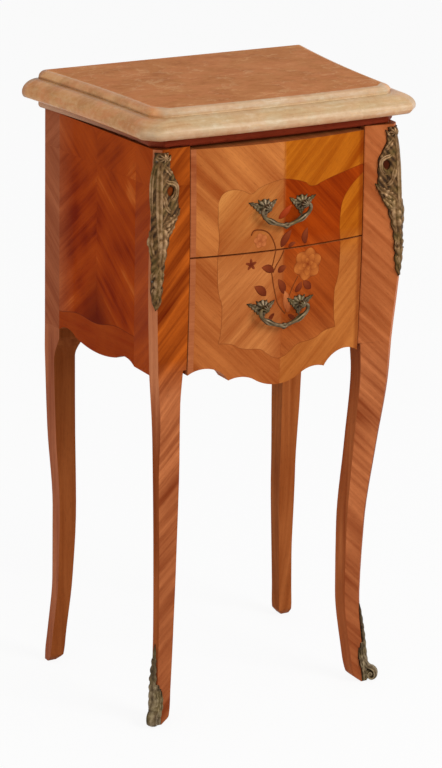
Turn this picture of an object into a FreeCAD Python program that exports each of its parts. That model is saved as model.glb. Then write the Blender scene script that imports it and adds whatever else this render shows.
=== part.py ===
import FreeCAD, Part
import math
import os
import re

import Sketcher

# A two-drawer bedside table on cabriole legs, with a moulded marble slab, a splayed case,
# bowed drawer fronts, bail pulls and bronze corner mounts and shoes.
# Frame: +X to the right seen from the front, the front faces -Y, +Z up, floor at Z = 0.

# Driving dimensions in millimetres (angles in degrees)
SIZES = {
    # marble slab
    "total_height": 730,
    "slab_thick": 30,
    "slab_width_back": 398,
    "slab_width_ears": 354,
    "slab_ear_cut": 14,
    "slab_front_overhang": 16,
    "slab_back_overhang": 4,
    "slab_bow": 4,
    "slab_side_hollow": 4,
    "ovolo_radius": 15,
    "under_round": 5,
    "edge_land": 1,
    "lip_thick": 8,
    "lip_inset": 25,
    "lip_round": 4,
    # moulded board under the slab
    "sub_top_thick": 13,
    "sub_top_inset": 19,
    "sub_top_round": 5,
    # case
    "case_width_front": 314,
    "case_width_back": 346,
    "case_height": 257,
    "post_width": 44,
    "post_depth": 41,
    "post_cant": 7.5,
    "knee_lift": 112,
    "knee_reach": 8.5,
    "post_foot_reach": 3,
    "back_post": 36,
    "post_trim": 3,
    "panel_thick": 12,
    "tongue_thick": 5,
    "tongue_depth": 7,
    "side_arch_rise": 6,
    "side_belly_drop": 6,
    "side_belly_width": 90,
    "back_panel_thick": 8,
    "back_panel_recess": 2,
    "floor_thick": 12,
    "floor_lift": 8,
    # legs: the share of the leg's height at which each station lies
    "thigh_level": 0.907,
    "calf_level": 0.698,
    "shin_level": 0.465,
    "ankle_level": 0.256,
    "heel_level": 0.093,
    "sole_level": 0.021,
    # front legs: how far each station's outer corner stands out from the case and before its front,
    # its width and depth, and how far its front face turns back from that corner
    "leg_cant": 5,
    "flank_turn": 0.58,
    "hip_width": 43,
    "hip_depth": 31,
    "hip_turn": 7,
    "thigh_out": 0.4,
    "thigh_fore": 3.6,
    "thigh_width": 38,
    "thigh_depth": 30,
    "thigh_turn": 8.5,
    "calf_out": -7.5,
    "calf_fore": -7.2,
    "calf_width": 33,
    "calf_depth": 24.3,
    "calf_turn": 3,
    "shin_out": -14.6,
    "shin_fore": -16.6,
    "shin_width": 27.4,
    "shin_depth": 24,
    "ankle_out": -16.5,
    "ankle_fore": -18.5,
    "ankle_width": 24,
    "ankle_depth": 22,
    "heel_out": -12.2,
    "heel_fore": -12.2,
    "heel_width": 22.2,
    "heel_depth": 21.4,
    "sole_out": -9.6,
    "sole_fore": -7.6,
    "sole_width": 20.5,
    "sole_depth": 20.5,
    "foot_out": -9.2,
    "foot_fore": -6.8,
    "foot_width": 11,
    "foot_depth": 11,
    # back legs: place of the axis, then reach along the diagonal and width of each station
    "back_axis_inset": 20.5,
    "back_axis_setback": 14.5,
    "back_cant": 3,
    "back_thigh_reach": 4.6,
    "back_thigh_width": 27.5,
    "back_calf_reach": 3.3,
    "back_calf_width": 25.8,
    "back_shin_reach": 0.3,
    "back_shin_width": 22,
    "back_ankle_reach": 1.8,
    "back_ankle_width": 19.2,
    "back_heel_reach": 6.6,
    "back_heel_width": 18,
    "back_sole_reach": 8.9,
    "back_sole_width": 17.8,
    "back_foot_reach": 12.4,
    "back_foot_width": 11,
    # rails, runners and guides
    "rail_thick": 14,
    "rail_housing": 8,
    "back_rail_depth": 20,
    "runner_width": 14,
    "low_runner_thick": 4,
    "guide_width": 14,
    "guide_height": 46,
    "stop_gap": 0.3,
    "slide_gap": 0.3,
    "kick_gap": 2,
    # drawer fronts
    "front_gap": 1,
    "front_setback": 4,
    "front_end_thick": 16,
    "front_bow": 11,
    "front_swell": 3,
    "front_top_gap": 4,
    "division_drop": 127,
    "division_gap": 2,
    "apron_end_drop": 7,
    "apron_cusp_drop": 17.5,
    "apron_cusp_x": 63,
    "apron_arch_rise": 11,
    "apron_wave_drop": 22,
    "apron_wave_x": 28,
    "apron_wave_rise": 4.5,
    "apron_belly_drop": 7.5,
    # drawer boxes
    "drawer_length": 195,
    "drawer_back_gap": 17,
    "drawer_side_thick": 10,
    "drawer_back_thick": 10,
    "drawer_bottom_thick": 6,
    "drawer_bottom_lift": 8,
    "bottom_groove": 4,
    "tail_length": 10,
    "tail_neck": 12,
    "tail_flare": 2.5,
    # pulls
    "pull_half": 24,
    "upper_pull_drop": 75,
    "lower_pull_drop": 65,
    "seat_radius": 8.5,
    "seat_sink": 2,
    "seat_thick": 3,
    "knob_radius": 4.5,
    "pivot_reach": 8.2,
    "shank_radius": 2,
    "shank_tail": 7,
    "nut_radius": 4.5,
    "nut_thick": 4,
    "pin_radius": 1.5,
    "pin_play": 0.05,
    "pin_length": 3.5,
    "bail_gap": 0.4,
    "bail_radius": 2.3,
    "bail_hook": 4,
    "bail_turn": 129,
    # bronze mounts and shoes
    "mount_top_gap": 4,
    "mount_length": 172,
    "mount_width": 26,
    "mount_tail_width": 5,
    "mount_waist": 0.62,
    "mount_thick": 5,
    "mount_wrap": 0.45,
    "shoe_height": 46,
    "shoe_tip_height": 84,
    "shoe_width": 25,
    "shoe_thick": 3,
    "shoe_wrap": 0.75,
    "toe_radius": 6,
    "toe_height": 11,
    "toe_reach": 5,
    # fasteners
    "brad_radius": 1,
    "brad_length": 16,
    "dowel_radius": 4,
    "dowel_length": 22,
    "dowel_sink": 12,
    "nail_radius": 1,
    "nail_length": 22,
}

doc = FreeCAD.newDocument("Nightstand")
sheet = doc.addObject("Spreadsheet::Sheet", "Sizes")
for row, (name, size) in enumerate(SIZES.items(), start=1):
    sheet.set(f"A{row}", name)
    sheet.set(f"B{row}", str(size))
    sheet.setAlias(f"B{row}", name)
doc.recompute()

parts = []


# Expressions and drawing helpers

def linked(text):
    """The expression with each size name led by the name of the sheet."""
    return re.sub(r"[a-z]\w*", lambda word: "Sizes." * (word[0] in SIZES) + word[0], str(text))


def value(text):
    """The number that an expression of sizes gives now."""
    return float(sheet.evalExpression(linked(text)))


def place(thing, x, y, z):
    """Tie an object's place to three expressions."""
    for axis, text in zip("xyz", (x, y, z)):
        thing.setExpression(f"Placement.Base.{axis}", linked(text))


def keep(thing, label):
    """Name an object after the piece it is, and hand it in."""
    thing.Label = label
    parts.append(thing)
    return thing


def span(low, high):
    """The expression of the length from one coordinate to another."""
    return f"({high}) - ({low})"


def board(name, x, y, z):
    """A rectangular board between pairs of coordinates along X, Y and Z."""
    box = doc.addObject("Part::Box", name)
    for side, (low, high) in zip(("Length", "Width", "Height"), (x, y, z)):
        box.setExpression(side, linked(span(low, high)))
    place(box, x[0], y[0], z[0])
    return box


def new_body(name):
    return doc.addObject("PartDesign::Body", name)


def new_sketch(body, name, plane, height="0", shift="0", rise="0", turn=0):
    """A sketch on one of the body's own planes, lifted along the plane's normal and moved within it."""
    sketch = body.newObject("Sketcher::SketchObject", name)
    support = next(item for item in body.Origin.OriginFeatures if item.Role == plane)
    sketch.AttachmentSupport = [(support, "")]
    sketch.MapMode = "FlatFace"
    sketch.AttachmentOffset = FreeCAD.Placement(
        FreeCAD.Vector(), FreeCAD.Rotation(FreeCAD.Vector(0, 1, 0), turn))
    for axis, text in zip("xyz", (shift, rise, height)):
        sketch.setExpression(f"AttachmentOffset.Base.{axis}", linked(text))
    return sketch


def tie(sketch, kind, geometry, point, text):
    """Hold one coordinate of a sketch point at an expression."""
    index = sketch.addConstraint(Sketcher.Constraint(kind, -1, 1, geometry, point, value(text)))
    sketch.setExpression(f"Constraints[{index}]", linked(text))


def edge_between(sketch, start, end, bulge):
    """Draw a line, or an arc whose bulge stands to the right of travel, and return its end numbers."""
    ax, ay = (value(text) for text in start)
    bx, by = (value(text) for text in end)
    if bulge is None:
        line = Part.LineSegment(FreeCAD.Vector(ax, ay), FreeCAD.Vector(bx, by))
        return sketch.addGeometry(line, False), 1, 2
    rise = value(bulge)
    chord = math.hypot(bx - ax, by - ay)
    radius = chord ** 2 / (8 * abs(rise)) + abs(rise) / 2
    side = rise - math.copysign(radius, rise)
    centre = FreeCAD.Vector((ax + bx) / 2 + side * (by - ay) / chord,
                            (ay + by) / 2 - side * (bx - ax) / chord)
    first = math.atan2(ay - centre.y, ax - centre.x)
    last = math.atan2(by - centre.y, bx - centre.x)
    if rise < 0:
        first, last = last, first
    if last < first:
        last += 2 * math.pi
    circle = Part.Circle(centre, FreeCAD.Vector(0, 0, 1), radius)
    arc = sketch.addGeometry(Part.ArcOfCircle(circle, first, last), False)
    squared = f"(({span(start[0], end[0])})^2 + ({span(start[1], end[1])})^2)"
    bend = f"{squared} / (8 * abs({bulge})) + abs({bulge}) / 2"
    index = sketch.addConstraint(Sketcher.Constraint("Radius", arc, radius))
    sketch.setExpression(f"Constraints[{index}]", linked(bend))
    return (arc, 1, 2) if rise > 0 else (arc, 2, 1)


def outline(sketch, corners, bulges=None, closed=True):
    """A run of edges through corners; bulges gives the rise of the arc that leaves a corner."""
    bulges = bulges or {}
    following = corners[1:] + corners[:1] if closed else corners[1:]
    edges = [edge_between(sketch, start, end, bulges.get(number))
             for number, (start, end) in enumerate(zip(corners, following))]
    for number, (geometry, entry, _) in enumerate(edges):
        before = edges[number - 1]
        if closed or number:
            sketch.addConstraint(Sketcher.Constraint("Coincident", before[0], before[2], geometry, entry))
        tie(sketch, "DistanceX", geometry, entry, corners[number][0])
        tie(sketch, "DistanceY", geometry, entry, corners[number][1])
    if not closed:
        geometry, _, leave = edges[-1]
        tie(sketch, "DistanceX", geometry, leave, corners[-1][0])
        tie(sketch, "DistanceY", geometry, leave, corners[-1][1])


def circle(sketch, x, y, radius):
    """A circle about a point, with its radius tied to an expression."""
    ring = Part.Circle(FreeCAD.Vector(value(x), value(y)), FreeCAD.Vector(0, 0, 1), value(radius))
    geometry = sketch.addGeometry(ring, False)
    tie(sketch, "DistanceX", geometry, 3, x)
    tie(sketch, "DistanceY", geometry, 3, y)
    index = sketch.addConstraint(Sketcher.Constraint("Radius", geometry, value(radius)))
    sketch.setExpression(f"Constraints[{index}]", linked(radius))


def pad(body, sketch, length):
    feature = body.newObject("PartDesign::Pad", sketch.Name + "_pad")
    feature.Profile = sketch
    feature.setExpression("Length", linked(length))
    return feature


def pocket(body, sketch, depth):
    """Cut from the sketch against its normal, and make sure that the cut took something away."""
    doc.recompute()
    before = body.Shape.Volume
    feature = body.newObject("PartDesign::Pocket", sketch.Name + "_cut")
    feature.Profile = sketch
    feature.setExpression("Length", linked(depth))
    doc.recompute()
    if body.Shape.Volume >= before:
        raise RuntimeError(f"{feature.Name} cut nothing")
    return feature


def soften(body, feature, radius, wanted):
    """Round the edges of a feature whose bounding box the wanted test accepts."""
    doc.recompute()
    names = [f"Edge{number}" for number, edge in enumerate(feature.Shape.Edges, start=1)
             if wanted(edge.BoundBox)]
    fillet = body.newObject("PartDesign::Fillet", feature.Name + "_round")
    fillet.Base = (feature, names)
    fillet.setExpression("Radius", linked(radius))
    doc.recompute()
    return fillet


def cut(name, base, *tools):
    """The base with each tool's shape taken out of it."""
    for tool in tools:
        piece = doc.addObject("Part::Cut", name)
        piece.Base = base
        piece.Tool = tool
        base = piece
    return base


def group(name, solids):
    bundle = doc.addObject("Part::Compound", name)
    bundle.Links = solids
    return bundle


def rod(name, radius, length, place_of_end, axis):
    """A round rod from its end along an axis."""
    piece = doc.addObject("Part::Cylinder", name)
    piece.setExpression("Radius", linked(radius))
    piece.setExpression("Height", linked(length))
    piece.Placement = FreeCAD.Placement(FreeCAD.Vector(), FreeCAD.Rotation(FreeCAD.Vector(0, 0, 1), axis))
    place(piece, *place_of_end)
    return piece


# Coordinates that many pieces share
CASE_DEPTH = ("(front_setback + front_end_thick + drawer_length + drawer_back_gap"
              " + back_panel_thick + back_panel_recess)")
FRONT_Y = ("((front_bow + front_swell - front_setback + pivot_reach + knob_radius"
           f" - {CASE_DEPTH} - slab_back_overhang) / 2)")
BACK_Y = f"({FRONT_Y} + {CASE_DEPTH})"
POST_BACK_Y = f"({FRONT_Y} + post_depth)"
BACK_POST_Y = f"({BACK_Y} - back_post)"
OPENING_X = "(case_width_front / 2 - post_width)"
BACK_INNER_X = "(case_width_back / 2 - back_post)"
SUB_TOP_Z = "(total_height - slab_thick - sub_top_thick)"
SLAB_Z = "(total_height - slab_thick)"
CASE_FLOOR = f"({SUB_TOP_Z} - case_height)"
KNEE_Z = f"({CASE_FLOOR} + knee_lift)"
DIVISION_Z = f"({SUB_TOP_Z} - division_drop)"
FRONT_HALF = f"({OPENING_X} - front_gap)"
FRONT_END_Y = f"({FRONT_Y} + front_setback)"
FRONT_BACK_Y = f"({FRONT_END_Y} + front_end_thick)"
FRONT_CROWN_Y = f"({FRONT_END_Y} - front_bow - front_swell)"
RAIL_FRONT_Y = f"({FRONT_BACK_Y} + stop_gap)"
PANEL_Y = f"({BACK_Y} - back_panel_recess - back_panel_thick)"
BACK_RAIL_Y = f"({PANEL_Y} - back_rail_depth)"
RAIL_LOW_Z = f"({DIVISION_Z} - rail_thick / 2)"
RAIL_HIGH_Z = f"({DIVISION_Z} + rail_thick / 2)"
TOP_RAIL_Z = f"({SUB_TOP_Z} - rail_thick)"
FLOOR_LOW_Z = f"({CASE_FLOOR} + floor_lift)"
FLOOR_Z = f"({FLOOR_LOW_Z} + floor_thick)"
RUNNER_X = f"({OPENING_X} - runner_width)"
GUIDE_X = f"({OPENING_X} + guide_width)"
PIVOT_Y = f"({FRONT_CROWN_Y} - pivot_reach)"


def side_x(y):
    """Half the width of the splayed case at a depth y."""
    splay = f"(case_width_back - case_width_front) / 2 / {CASE_DEPTH}"
    return f"(case_width_front / 2 + {splay} * ({span(FRONT_Y, y)}))"


def mirrored(points, sign):
    """The corners as they stand on the right (1) or mirrored to the left (-1), turning the same way."""
    if sign > 0:
        return points
    return [(f"-({x})", y) for x, y in reversed(points)]


SIDES = (("left", -1), ("right", 1))


# Marble slab and the moulded board under it

def slab_corners(inset, back):
    """The slab's outline drawn in by an inset, with its back edge at its own line."""
    ear_y = f"{FRONT_Y} - slab_front_overhang + {inset} + slab_ear_cut"
    front_y = f"{FRONT_Y} - slab_front_overhang + {inset}"
    right = [
        (f"slab_width_ears / 2 - slab_ear_cut - {inset}", front_y),
        (f"slab_width_ears / 2 - {inset}", ear_y),
        (f"slab_width_back / 2 - {inset}", back),
    ]
    return right + mirrored(right, -1)


SLAB_BULGES = {1: "-slab_side_hollow", 3: "-slab_side_hollow", 5: "slab_bow"}


def slab_pad(body, name, inset, back, low, thick):
    sketch = new_sketch(body, name, "XY_Plane", low)
    outline(sketch, slab_corners(inset, back), SLAB_BULGES)
    return pad(body, sketch, thick)


def edges_at(height, back):
    """A test for edges that lie at one height and aren't the straight edge at the back."""
    level, rear, slack = value(height), value(back), 0.01

    def wanted(box):
        return max(abs(box.ZMin - level), abs(box.ZMax - level)) < slack and box.YMin < rear - slack

    return wanted


SLAB_BACK = f"{BACK_Y} + slab_back_overhang"
LIP_Z = "total_height - lip_thick"
marble = new_body("marble")
slab_base = slab_pad(marble, "slab_base", "0", SLAB_BACK, SLAB_Z, "slab_thick - lip_thick")
OVOLO = "min(ovolo_radius; slab_thick - lip_thick - under_round - edge_land; lip_inset - edge_land)"
ovolo = soften(marble, slab_base, OVOLO, edges_at(LIP_Z, SLAB_BACK))
under = soften(marble, ovolo, "under_round", edges_at(SLAB_Z, SLAB_BACK))
lip = slab_pad(marble, "slab_lip", "lip_inset", SLAB_BACK, LIP_Z, "lip_thick")
soften(marble, lip, "lip_round", edges_at("total_height", SLAB_BACK))
keep(marble, "marble_top")

sub_top = new_body("sub_top_blank")
sub_pad = slab_pad(sub_top, "sub_top_outline", "sub_top_inset", BACK_Y, SUB_TOP_Z, "sub_top_thick")
soften(sub_top, sub_pad, "sub_top_round", edges_at(SUB_TOP_Z, BACK_Y))


# Boards and rails inside the case

def plan_board(name, right_half, low, thick, bulges=None):
    """A board padded from a plan outline that is given for its right half, front to back."""
    body = new_body(name)
    sketch = new_sketch(body, name + "_plan", "XY_Plane", low)
    outline(sketch, right_half + mirrored(right_half, -1), bulges)
    pad(body, sketch, thick)
    return body


def inner_x(y):
    """The inner face of the side panel at a depth y."""
    return f"({side_x(y)} - panel_thick)"


floor_board = plan_board("floor_board", [
    (OPENING_X, RAIL_FRONT_Y), (OPENING_X, POST_BACK_Y), (inner_x(POST_BACK_Y), POST_BACK_Y),
    (inner_x(BACK_POST_Y), BACK_POST_Y), (BACK_INNER_X, BACK_POST_Y), (BACK_INNER_X, PANEL_Y),
], FLOOR_LOW_Z, "floor_thick")

RAIL_END_X = f"({OPENING_X} + rail_housing)"
RAIL_Y = (RAIL_FRONT_Y, POST_BACK_Y)
top_rail = board("top_rail", (f"-{RAIL_END_X}", RAIL_END_X), RAIL_Y, (TOP_RAIL_Z, SUB_TOP_Z))
divider = board("divider", (f"-{RAIL_END_X}", RAIL_END_X), RAIL_Y, (RAIL_LOW_Z, RAIL_HIGH_Z))
back_rail = board("back_rail_blank", (f"-{BACK_INNER_X}", BACK_INNER_X), (BACK_RAIL_Y, PANEL_Y),
                  (RAIL_LOW_Z, RAIL_HIGH_Z))
back_panel = board("back_panel_blank", (f"-{BACK_INNER_X}", BACK_INNER_X),
                   (PANEL_Y, f"{PANEL_Y} + back_panel_thick"), (FLOOR_LOW_Z, SUB_TOP_Z))
keep(top_rail, "front_top_rail")
keep(divider, "divider_rail")


def across(sign, low, high):
    """The pair of X coordinates of a strip on the right (1), or on the left (-1)."""
    return (low, high) if sign > 0 else (f"-({high})", f"-({low})")


LOW_RUNNER_Z = f"({FLOOR_Z} + low_runner_thick)"
kickers = []
for side, sign in SIDES:
    under_drawer = across(sign, RUNNER_X, OPENING_X)
    beside_drawer = across(sign, OPENING_X, GUIDE_X)
    upper_y = (POST_BACK_Y, BACK_RAIL_Y)
    lower_y = (POST_BACK_Y, PANEL_Y)
    upper_runner = board(f"upper_runner_{side}", under_drawer, upper_y, (RAIL_LOW_Z, RAIL_HIGH_Z))
    guide_y = (POST_BACK_Y, BACK_POST_Y)
    upper_guide = board(f"upper_guide_{side}", beside_drawer, guide_y,
                        (RAIL_LOW_Z, f"{RAIL_LOW_Z} + guide_height"))
    lower_runner = board(f"lower_runner_{side}", under_drawer, lower_y, (FLOOR_Z, LOW_RUNNER_Z))
    lower_guide = board(f"lower_guide_{side}", beside_drawer, guide_y, (FLOOR_Z, f"{FLOOR_Z} + guide_height"))
    for strip in (upper_runner, upper_guide, lower_runner, lower_guide):
        keep(strip, strip.Name)
    kickers.append(board(f"kicker_blank_{side}", under_drawer, lower_y, (TOP_RAIL_Z, SUB_TOP_Z)))


# Side panels: splayed boards with a tongue at each end and a scalloped lower edge

TONGUE_OUT = "((panel_thick - tongue_thick) / 2)"
TONGUE_IN = "((panel_thick + tongue_thick) / 2)"
TONGUE_FRONT_Y = f"({POST_BACK_Y} - tongue_depth)"
TONGUE_BACK_Y = f"({BACK_POST_Y} + tongue_depth)"
SIDE_MIDDLE_Y = f"(({POST_BACK_Y} + {BACK_POST_Y}) / 2)"


def panel_corners():
    """The panel seen from above: outer face, back tongue, inner face, front tongue."""
    rows = [(POST_BACK_Y, "0"), (BACK_POST_Y, "0"), (BACK_POST_Y, TONGUE_OUT), (TONGUE_BACK_Y, TONGUE_OUT),
            (TONGUE_BACK_Y, TONGUE_IN), (BACK_POST_Y, TONGUE_IN), (BACK_POST_Y, "panel_thick"),
            (POST_BACK_Y, "panel_thick"), (POST_BACK_Y, TONGUE_IN), (TONGUE_FRONT_Y, TONGUE_IN),
            (TONGUE_FRONT_Y, TONGUE_OUT), (POST_BACK_Y, TONGUE_OUT)]
    return [(f"{side_x(y)} - {depth}", y) for y, depth in rows]


def scallop(sketch):
    """The waste under the panel: level at the tongues, an arch at each post and a belly between."""
    low = f"{CASE_FLOOR} - 3 * side_belly_drop"
    belly_front = f"{SIDE_MIDDLE_Y} - side_belly_width / 2"
    belly_back = f"{SIDE_MIDDLE_Y} + side_belly_width / 2"
    level = (TONGUE_BACK_Y, BACK_POST_Y, belly_back, belly_front, POST_BACK_Y, TONGUE_FRONT_Y)
    corners = [(TONGUE_FRONT_Y, low), (TONGUE_BACK_Y, low)] + [(y, CASE_FLOOR) for y in level]
    outline(sketch, corners, {3: "side_arch_rise", 4: "-side_belly_drop", 5: "side_arch_rise"})


panels = {}
for side, sign in SIDES:
    panel = new_body(f"panel_{side}")
    plan = new_sketch(panel, f"panel_plan_{side}", "XY_Plane", f"{CASE_FLOOR} - side_belly_drop")
    outline(plan, mirrored(panel_corners(), sign))
    pad(panel, plan, "case_height + side_belly_drop")
    past_panel = "case_width_back"
    waste = new_sketch(panel, f"panel_waste_{side}", "YZ_Plane", past_panel if sign > 0 else "0")
    scallop(waste)
    pocket(panel, waste, past_panel)
    panels[side] = keep(panel, f"side_panel_{side}")


# Legs: five corner lines through the stations of each leg, with flat strips between neighbouring lines

STATIONS = ("thigh", "calf", "shin", "ankle", "heel", "sole")
BACK_AXIS_X = "(case_width_back / 2 - back_axis_inset)"
BACK_AXIS_Y = f"({BACK_Y} - back_axis_setback)"


def post_section(reach, swell):
    """Front post: inner front, two cant corners, outer back and inner back, over-wide where it is trimmed."""
    reach_x = f"case_width_front / 2 + {reach}"
    reach_y = f"{FRONT_Y} - {reach}"
    back_y = f"{POST_BACK_Y} + post_trim"
    return [
        (f"{OPENING_X} - post_trim", f"{FRONT_END_Y} - {swell}"),
        (f"{reach_x} - post_cant", reach_y),
        (reach_x, f"{reach_y} + post_cant"),
        (side_x(back_y), back_y),
        (f"{OPENING_X} - post_trim", back_y),
    ]


def back_post_section():
    """Back post: a square whose outer face follows the splayed side, over-wide where it is trimmed."""
    inner_y = f"{BACK_POST_Y} - post_trim"
    inner = f"{BACK_INNER_X} - post_trim"
    return [
        (inner, BACK_Y),
        ("case_width_back / 2 - back_cant", BACK_Y),
        (side_x(f"({BACK_Y} - back_cant)"), f"{BACK_Y} - back_cant"),
        (side_x(inner_y), inner_y),
        (inner, inner_y),
    ]


def front_leg_section(outer, front, station, cant, turn="0"):
    """Free front leg about its outer corner: canted there, with the faces on either side of it turned in."""
    inner = f"{outer} - {station}_width"
    back = f"{front} + {station}_depth"
    return [
        (inner, f"{front} + {turn}"),
        (f"{outer} - {cant}", front),
        (outer, f"{front} + {cant}"),
        (f"{outer} - flank_turn * ({station}_depth - {cant})", back),
        (inner, back),
    ]


def outer_corner(station):
    """Where the front leg's outer corner stands at a station."""
    return f"(case_width_front / 2 + {station}_out)", f"({FRONT_Y} - {station}_fore)"


def back_leg_section(station):
    """Free back leg: a square moved out along the diagonal from the leg's axis, its outer corner canted."""
    middle_x = f"{BACK_AXIS_X} + back_{station}_reach"
    middle_y = f"{BACK_AXIS_Y} + back_{station}_reach"
    half = f"back_{station}_width / 2"
    return [
        (f"{middle_x} - {half}", f"{middle_y} + {half}"),
        (f"{middle_x} + {half} - back_cant", f"{middle_y} + {half}"),
        (f"{middle_x} + {half}", f"{middle_y} + {half} - back_cant"),
        (f"{middle_x} + {half}", f"{middle_y} - {half}"),
        (f"{middle_x} - {half}", f"{middle_y} - {half}"),
    ]


def front_post_stations():
    """The front post's sections from the case floor up, as pairs of height and corners."""
    return [(CASE_FLOOR, post_section("post_foot_reach", "0")),
            (KNEE_Z, post_section("knee_reach", "front_swell")),
            (SUB_TOP_Z, post_section("0", "0"))]


def front_leg_stations():
    """The front leg's sections from the foot up to the post, as pairs of height and corners."""
    rows = [("0", front_leg_section(*outer_corner("foot"), "foot", "leg_cant"))]
    for station in ("sole", "heel", "ankle", "shin"):
        section = front_leg_section(*outer_corner(station), station, "leg_cant")
        rows.append((f"{CASE_FLOOR} * {station}_level", section))
    for station, cant in (("calf", "leg_cant"), ("thigh", "post_cant")):
        section = front_leg_section(*outer_corner(station), station, cant, f"{station}_turn")
        rows.append((f"{CASE_FLOOR} * {station}_level", section))
    corner = "(case_width_front / 2 + post_foot_reach)", f"({FRONT_Y} - post_foot_reach)"
    rows.append((CASE_FLOOR, front_leg_section(*corner, "hip", "post_cant", "hip_turn")))
    return rows


def back_leg_stations():
    """The back leg's sections from the foot up, as pairs of height and corners."""
    rows = [("0", back_leg_section("foot"))]
    for station in reversed(STATIONS):
        rows.append((f"{CASE_FLOOR} * {station}_level", back_leg_section(station)))
    rows.append((CASE_FLOOR, back_post_section()))
    rows.append((SUB_TOP_Z, back_post_section()))
    return rows


def slopes(heights, places):
    """The slope at each station: none at a turning point, and between its neighbours' slopes elsewhere."""
    steps = [(b - a) / (high - low) for a, b, low, high in zip(places, places[1:], heights, heights[1:])]
    inside = [2 * a * b / (a + b) if a * b > 0 else 0.0 for a, b in zip(steps, steps[1:])]
    return [steps[0]] + inside + [steps[-1]]


def corner_line(points):
    """A smooth line up the leg through one corner of every section."""
    heights = [point.z for point in points]
    across_x = slopes(heights, [point.x for point in points])
    across_y = slopes(heights, [point.y for point in points])
    leads = [FreeCAD.Vector(x, y, 1) for x, y in zip(across_x, across_y)]
    poles = [points[0]]
    for number in range(len(points) - 1):
        third = (heights[number + 1] - heights[number]) / 3
        poles.append(points[number] + leads[number] * third)
        poles.append(points[number + 1] - leads[number + 1] * third)
    poles.append(points[-1])
    curve = Part.BSplineCurve()
    counts = [4] + [2] * (len(points) - 2) + [4]
    curve.buildFromPolesMultsKnots(poles, counts, heights, False, 3)
    return curve.toShape()


def leg_blank(name, stations, sign):
    """A leg's solid, bounded by the strips between its corner lines and by its two ends."""
    rows = [[FreeCAD.Vector(sign * value(x), value(y), value(height)) for x, y in corners]
            for height, corners in stations]
    lines = [corner_line(list(column)) for column in zip(*rows)]
    faces = [Part.makeRuledSurface(line, following) for line, following in zip(lines, lines[1:] + lines[:1])]
    for end in (rows[0], rows[-1]):
        faces.append(Part.Face(Part.makePolygon(end + end[:1])))
    shell = Part.makeShell(faces)
    shell.sewShape()
    solid = Part.makeSolid(shell)
    if solid.Volume < 0:
        solid.reverse()
    blank = doc.addObject("Part::Feature", name)
    blank.Shape = solid
    blank.Placement = FreeCAD.Placement()
    return blank


def trim_boards(name, inner, face_y, inward, sign):
    """The waste inside a post: where the drawers pass, and where the side panel meets the post."""
    low_z, high_z = f"{CASE_FLOOR} - 5 * post_trim", f"{SUB_TOP_Z} + post_trim"
    far = CASE_DEPTH
    depth = (face_y, f"{face_y} + {far}") if inward > 0 else (f"{face_y} - {far}", face_y)
    beside = across(sign, "0", inner)
    whole = across(sign, "0", "case_width_back")
    through = (f"{FRONT_Y} - {far}", f"{BACK_Y} + {far}")
    return (board(name + "_drawer_waste", beside, through, (low_z, high_z)),
            board(name + "_panel_waste", whole, depth, (low_z, high_z)))


leg_blanks = {}
for side, sign in SIDES:
    blank = doc.addObject("Part::Fuse", f"front_leg_blank_{side}")
    blank.Base = leg_blank(f"front_post_{side}", front_post_stations(), sign)
    blank.Tool = leg_blank(f"front_cabriole_{side}", front_leg_stations(), sign)
    wastes = trim_boards(f"front_{side}", OPENING_X, POST_BACK_Y, 1, sign)
    tools = (*wastes, panels[side], top_rail, divider)
    leg_blanks["front", side] = cut(f"front_leg_trimmed_{side}", blank, *tools)
    blank = leg_blank(f"back_leg_blank_{side}", back_leg_stations(), sign)
    wastes = trim_boards(f"back_{side}", BACK_INNER_X, BACK_POST_Y, -1, sign)
    leg_blanks["back", side] = cut(f"back_leg_trimmed_{side}", blank, *wastes, panels[side])


# Drawers: a bowed front with blind dovetails, two sides, a back and a bottom in grooves

BOW_RADIUS = f"({FRONT_HALF}^2 / (2 * front_bow) + front_bow / 2)"
BOW_AXIS_Y = f"({FRONT_END_Y} - front_bow + {BOW_RADIUS})"
FRONT_TOP_Z = f"({SUB_TOP_Z} - front_top_gap)"
APRON_END_Z = f"({CASE_FLOOR} - apron_end_drop)"
APRON_CUSP_Z = f"({CASE_FLOOR} - apron_cusp_drop)"
APRON_WAVE_Z = f"({CASE_FLOOR} - apron_wave_drop)"
APRON_LOW_Z = f"({APRON_WAVE_Z} - apron_belly_drop)"
SIDE_INNER_X = f"({FRONT_HALF} - drawer_side_thick)"
DRAWER_BACK_Y = f"({FRONT_BACK_Y} + drawer_length)"
SEAT_Y = f"({FRONT_CROWN_Y} + seat_sink)"
TAILS = 3

ABOVE_GAP_Z = f"{DIVISION_Z} + division_gap / 2"
BELOW_GAP_Z = f"{DIVISION_Z} - division_gap / 2"
UPPER_OUTLINE = [
    (f"-{FRONT_HALF}", ABOVE_GAP_Z), (FRONT_HALF, ABOVE_GAP_Z),
    (FRONT_HALF, FRONT_TOP_Z), (f"-{FRONT_HALF}", FRONT_TOP_Z)]
LOWER_OUTLINE = [
    (f"-{FRONT_HALF}", APRON_END_Z), ("-apron_cusp_x", APRON_CUSP_Z), ("-apron_wave_x", APRON_WAVE_Z),
    ("apron_wave_x", APRON_WAVE_Z), ("apron_cusp_x", APRON_CUSP_Z), (FRONT_HALF, APRON_END_Z),
    (FRONT_HALF, BELOW_GAP_Z), (f"-{FRONT_HALF}", BELOW_GAP_Z)]
APRON_BULGES = {0: "-apron_arch_rise", 1: "-apron_wave_rise", 2: "apron_belly_drop",
                3: "-apron_wave_rise", 4: "-apron_arch_rise"}

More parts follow.
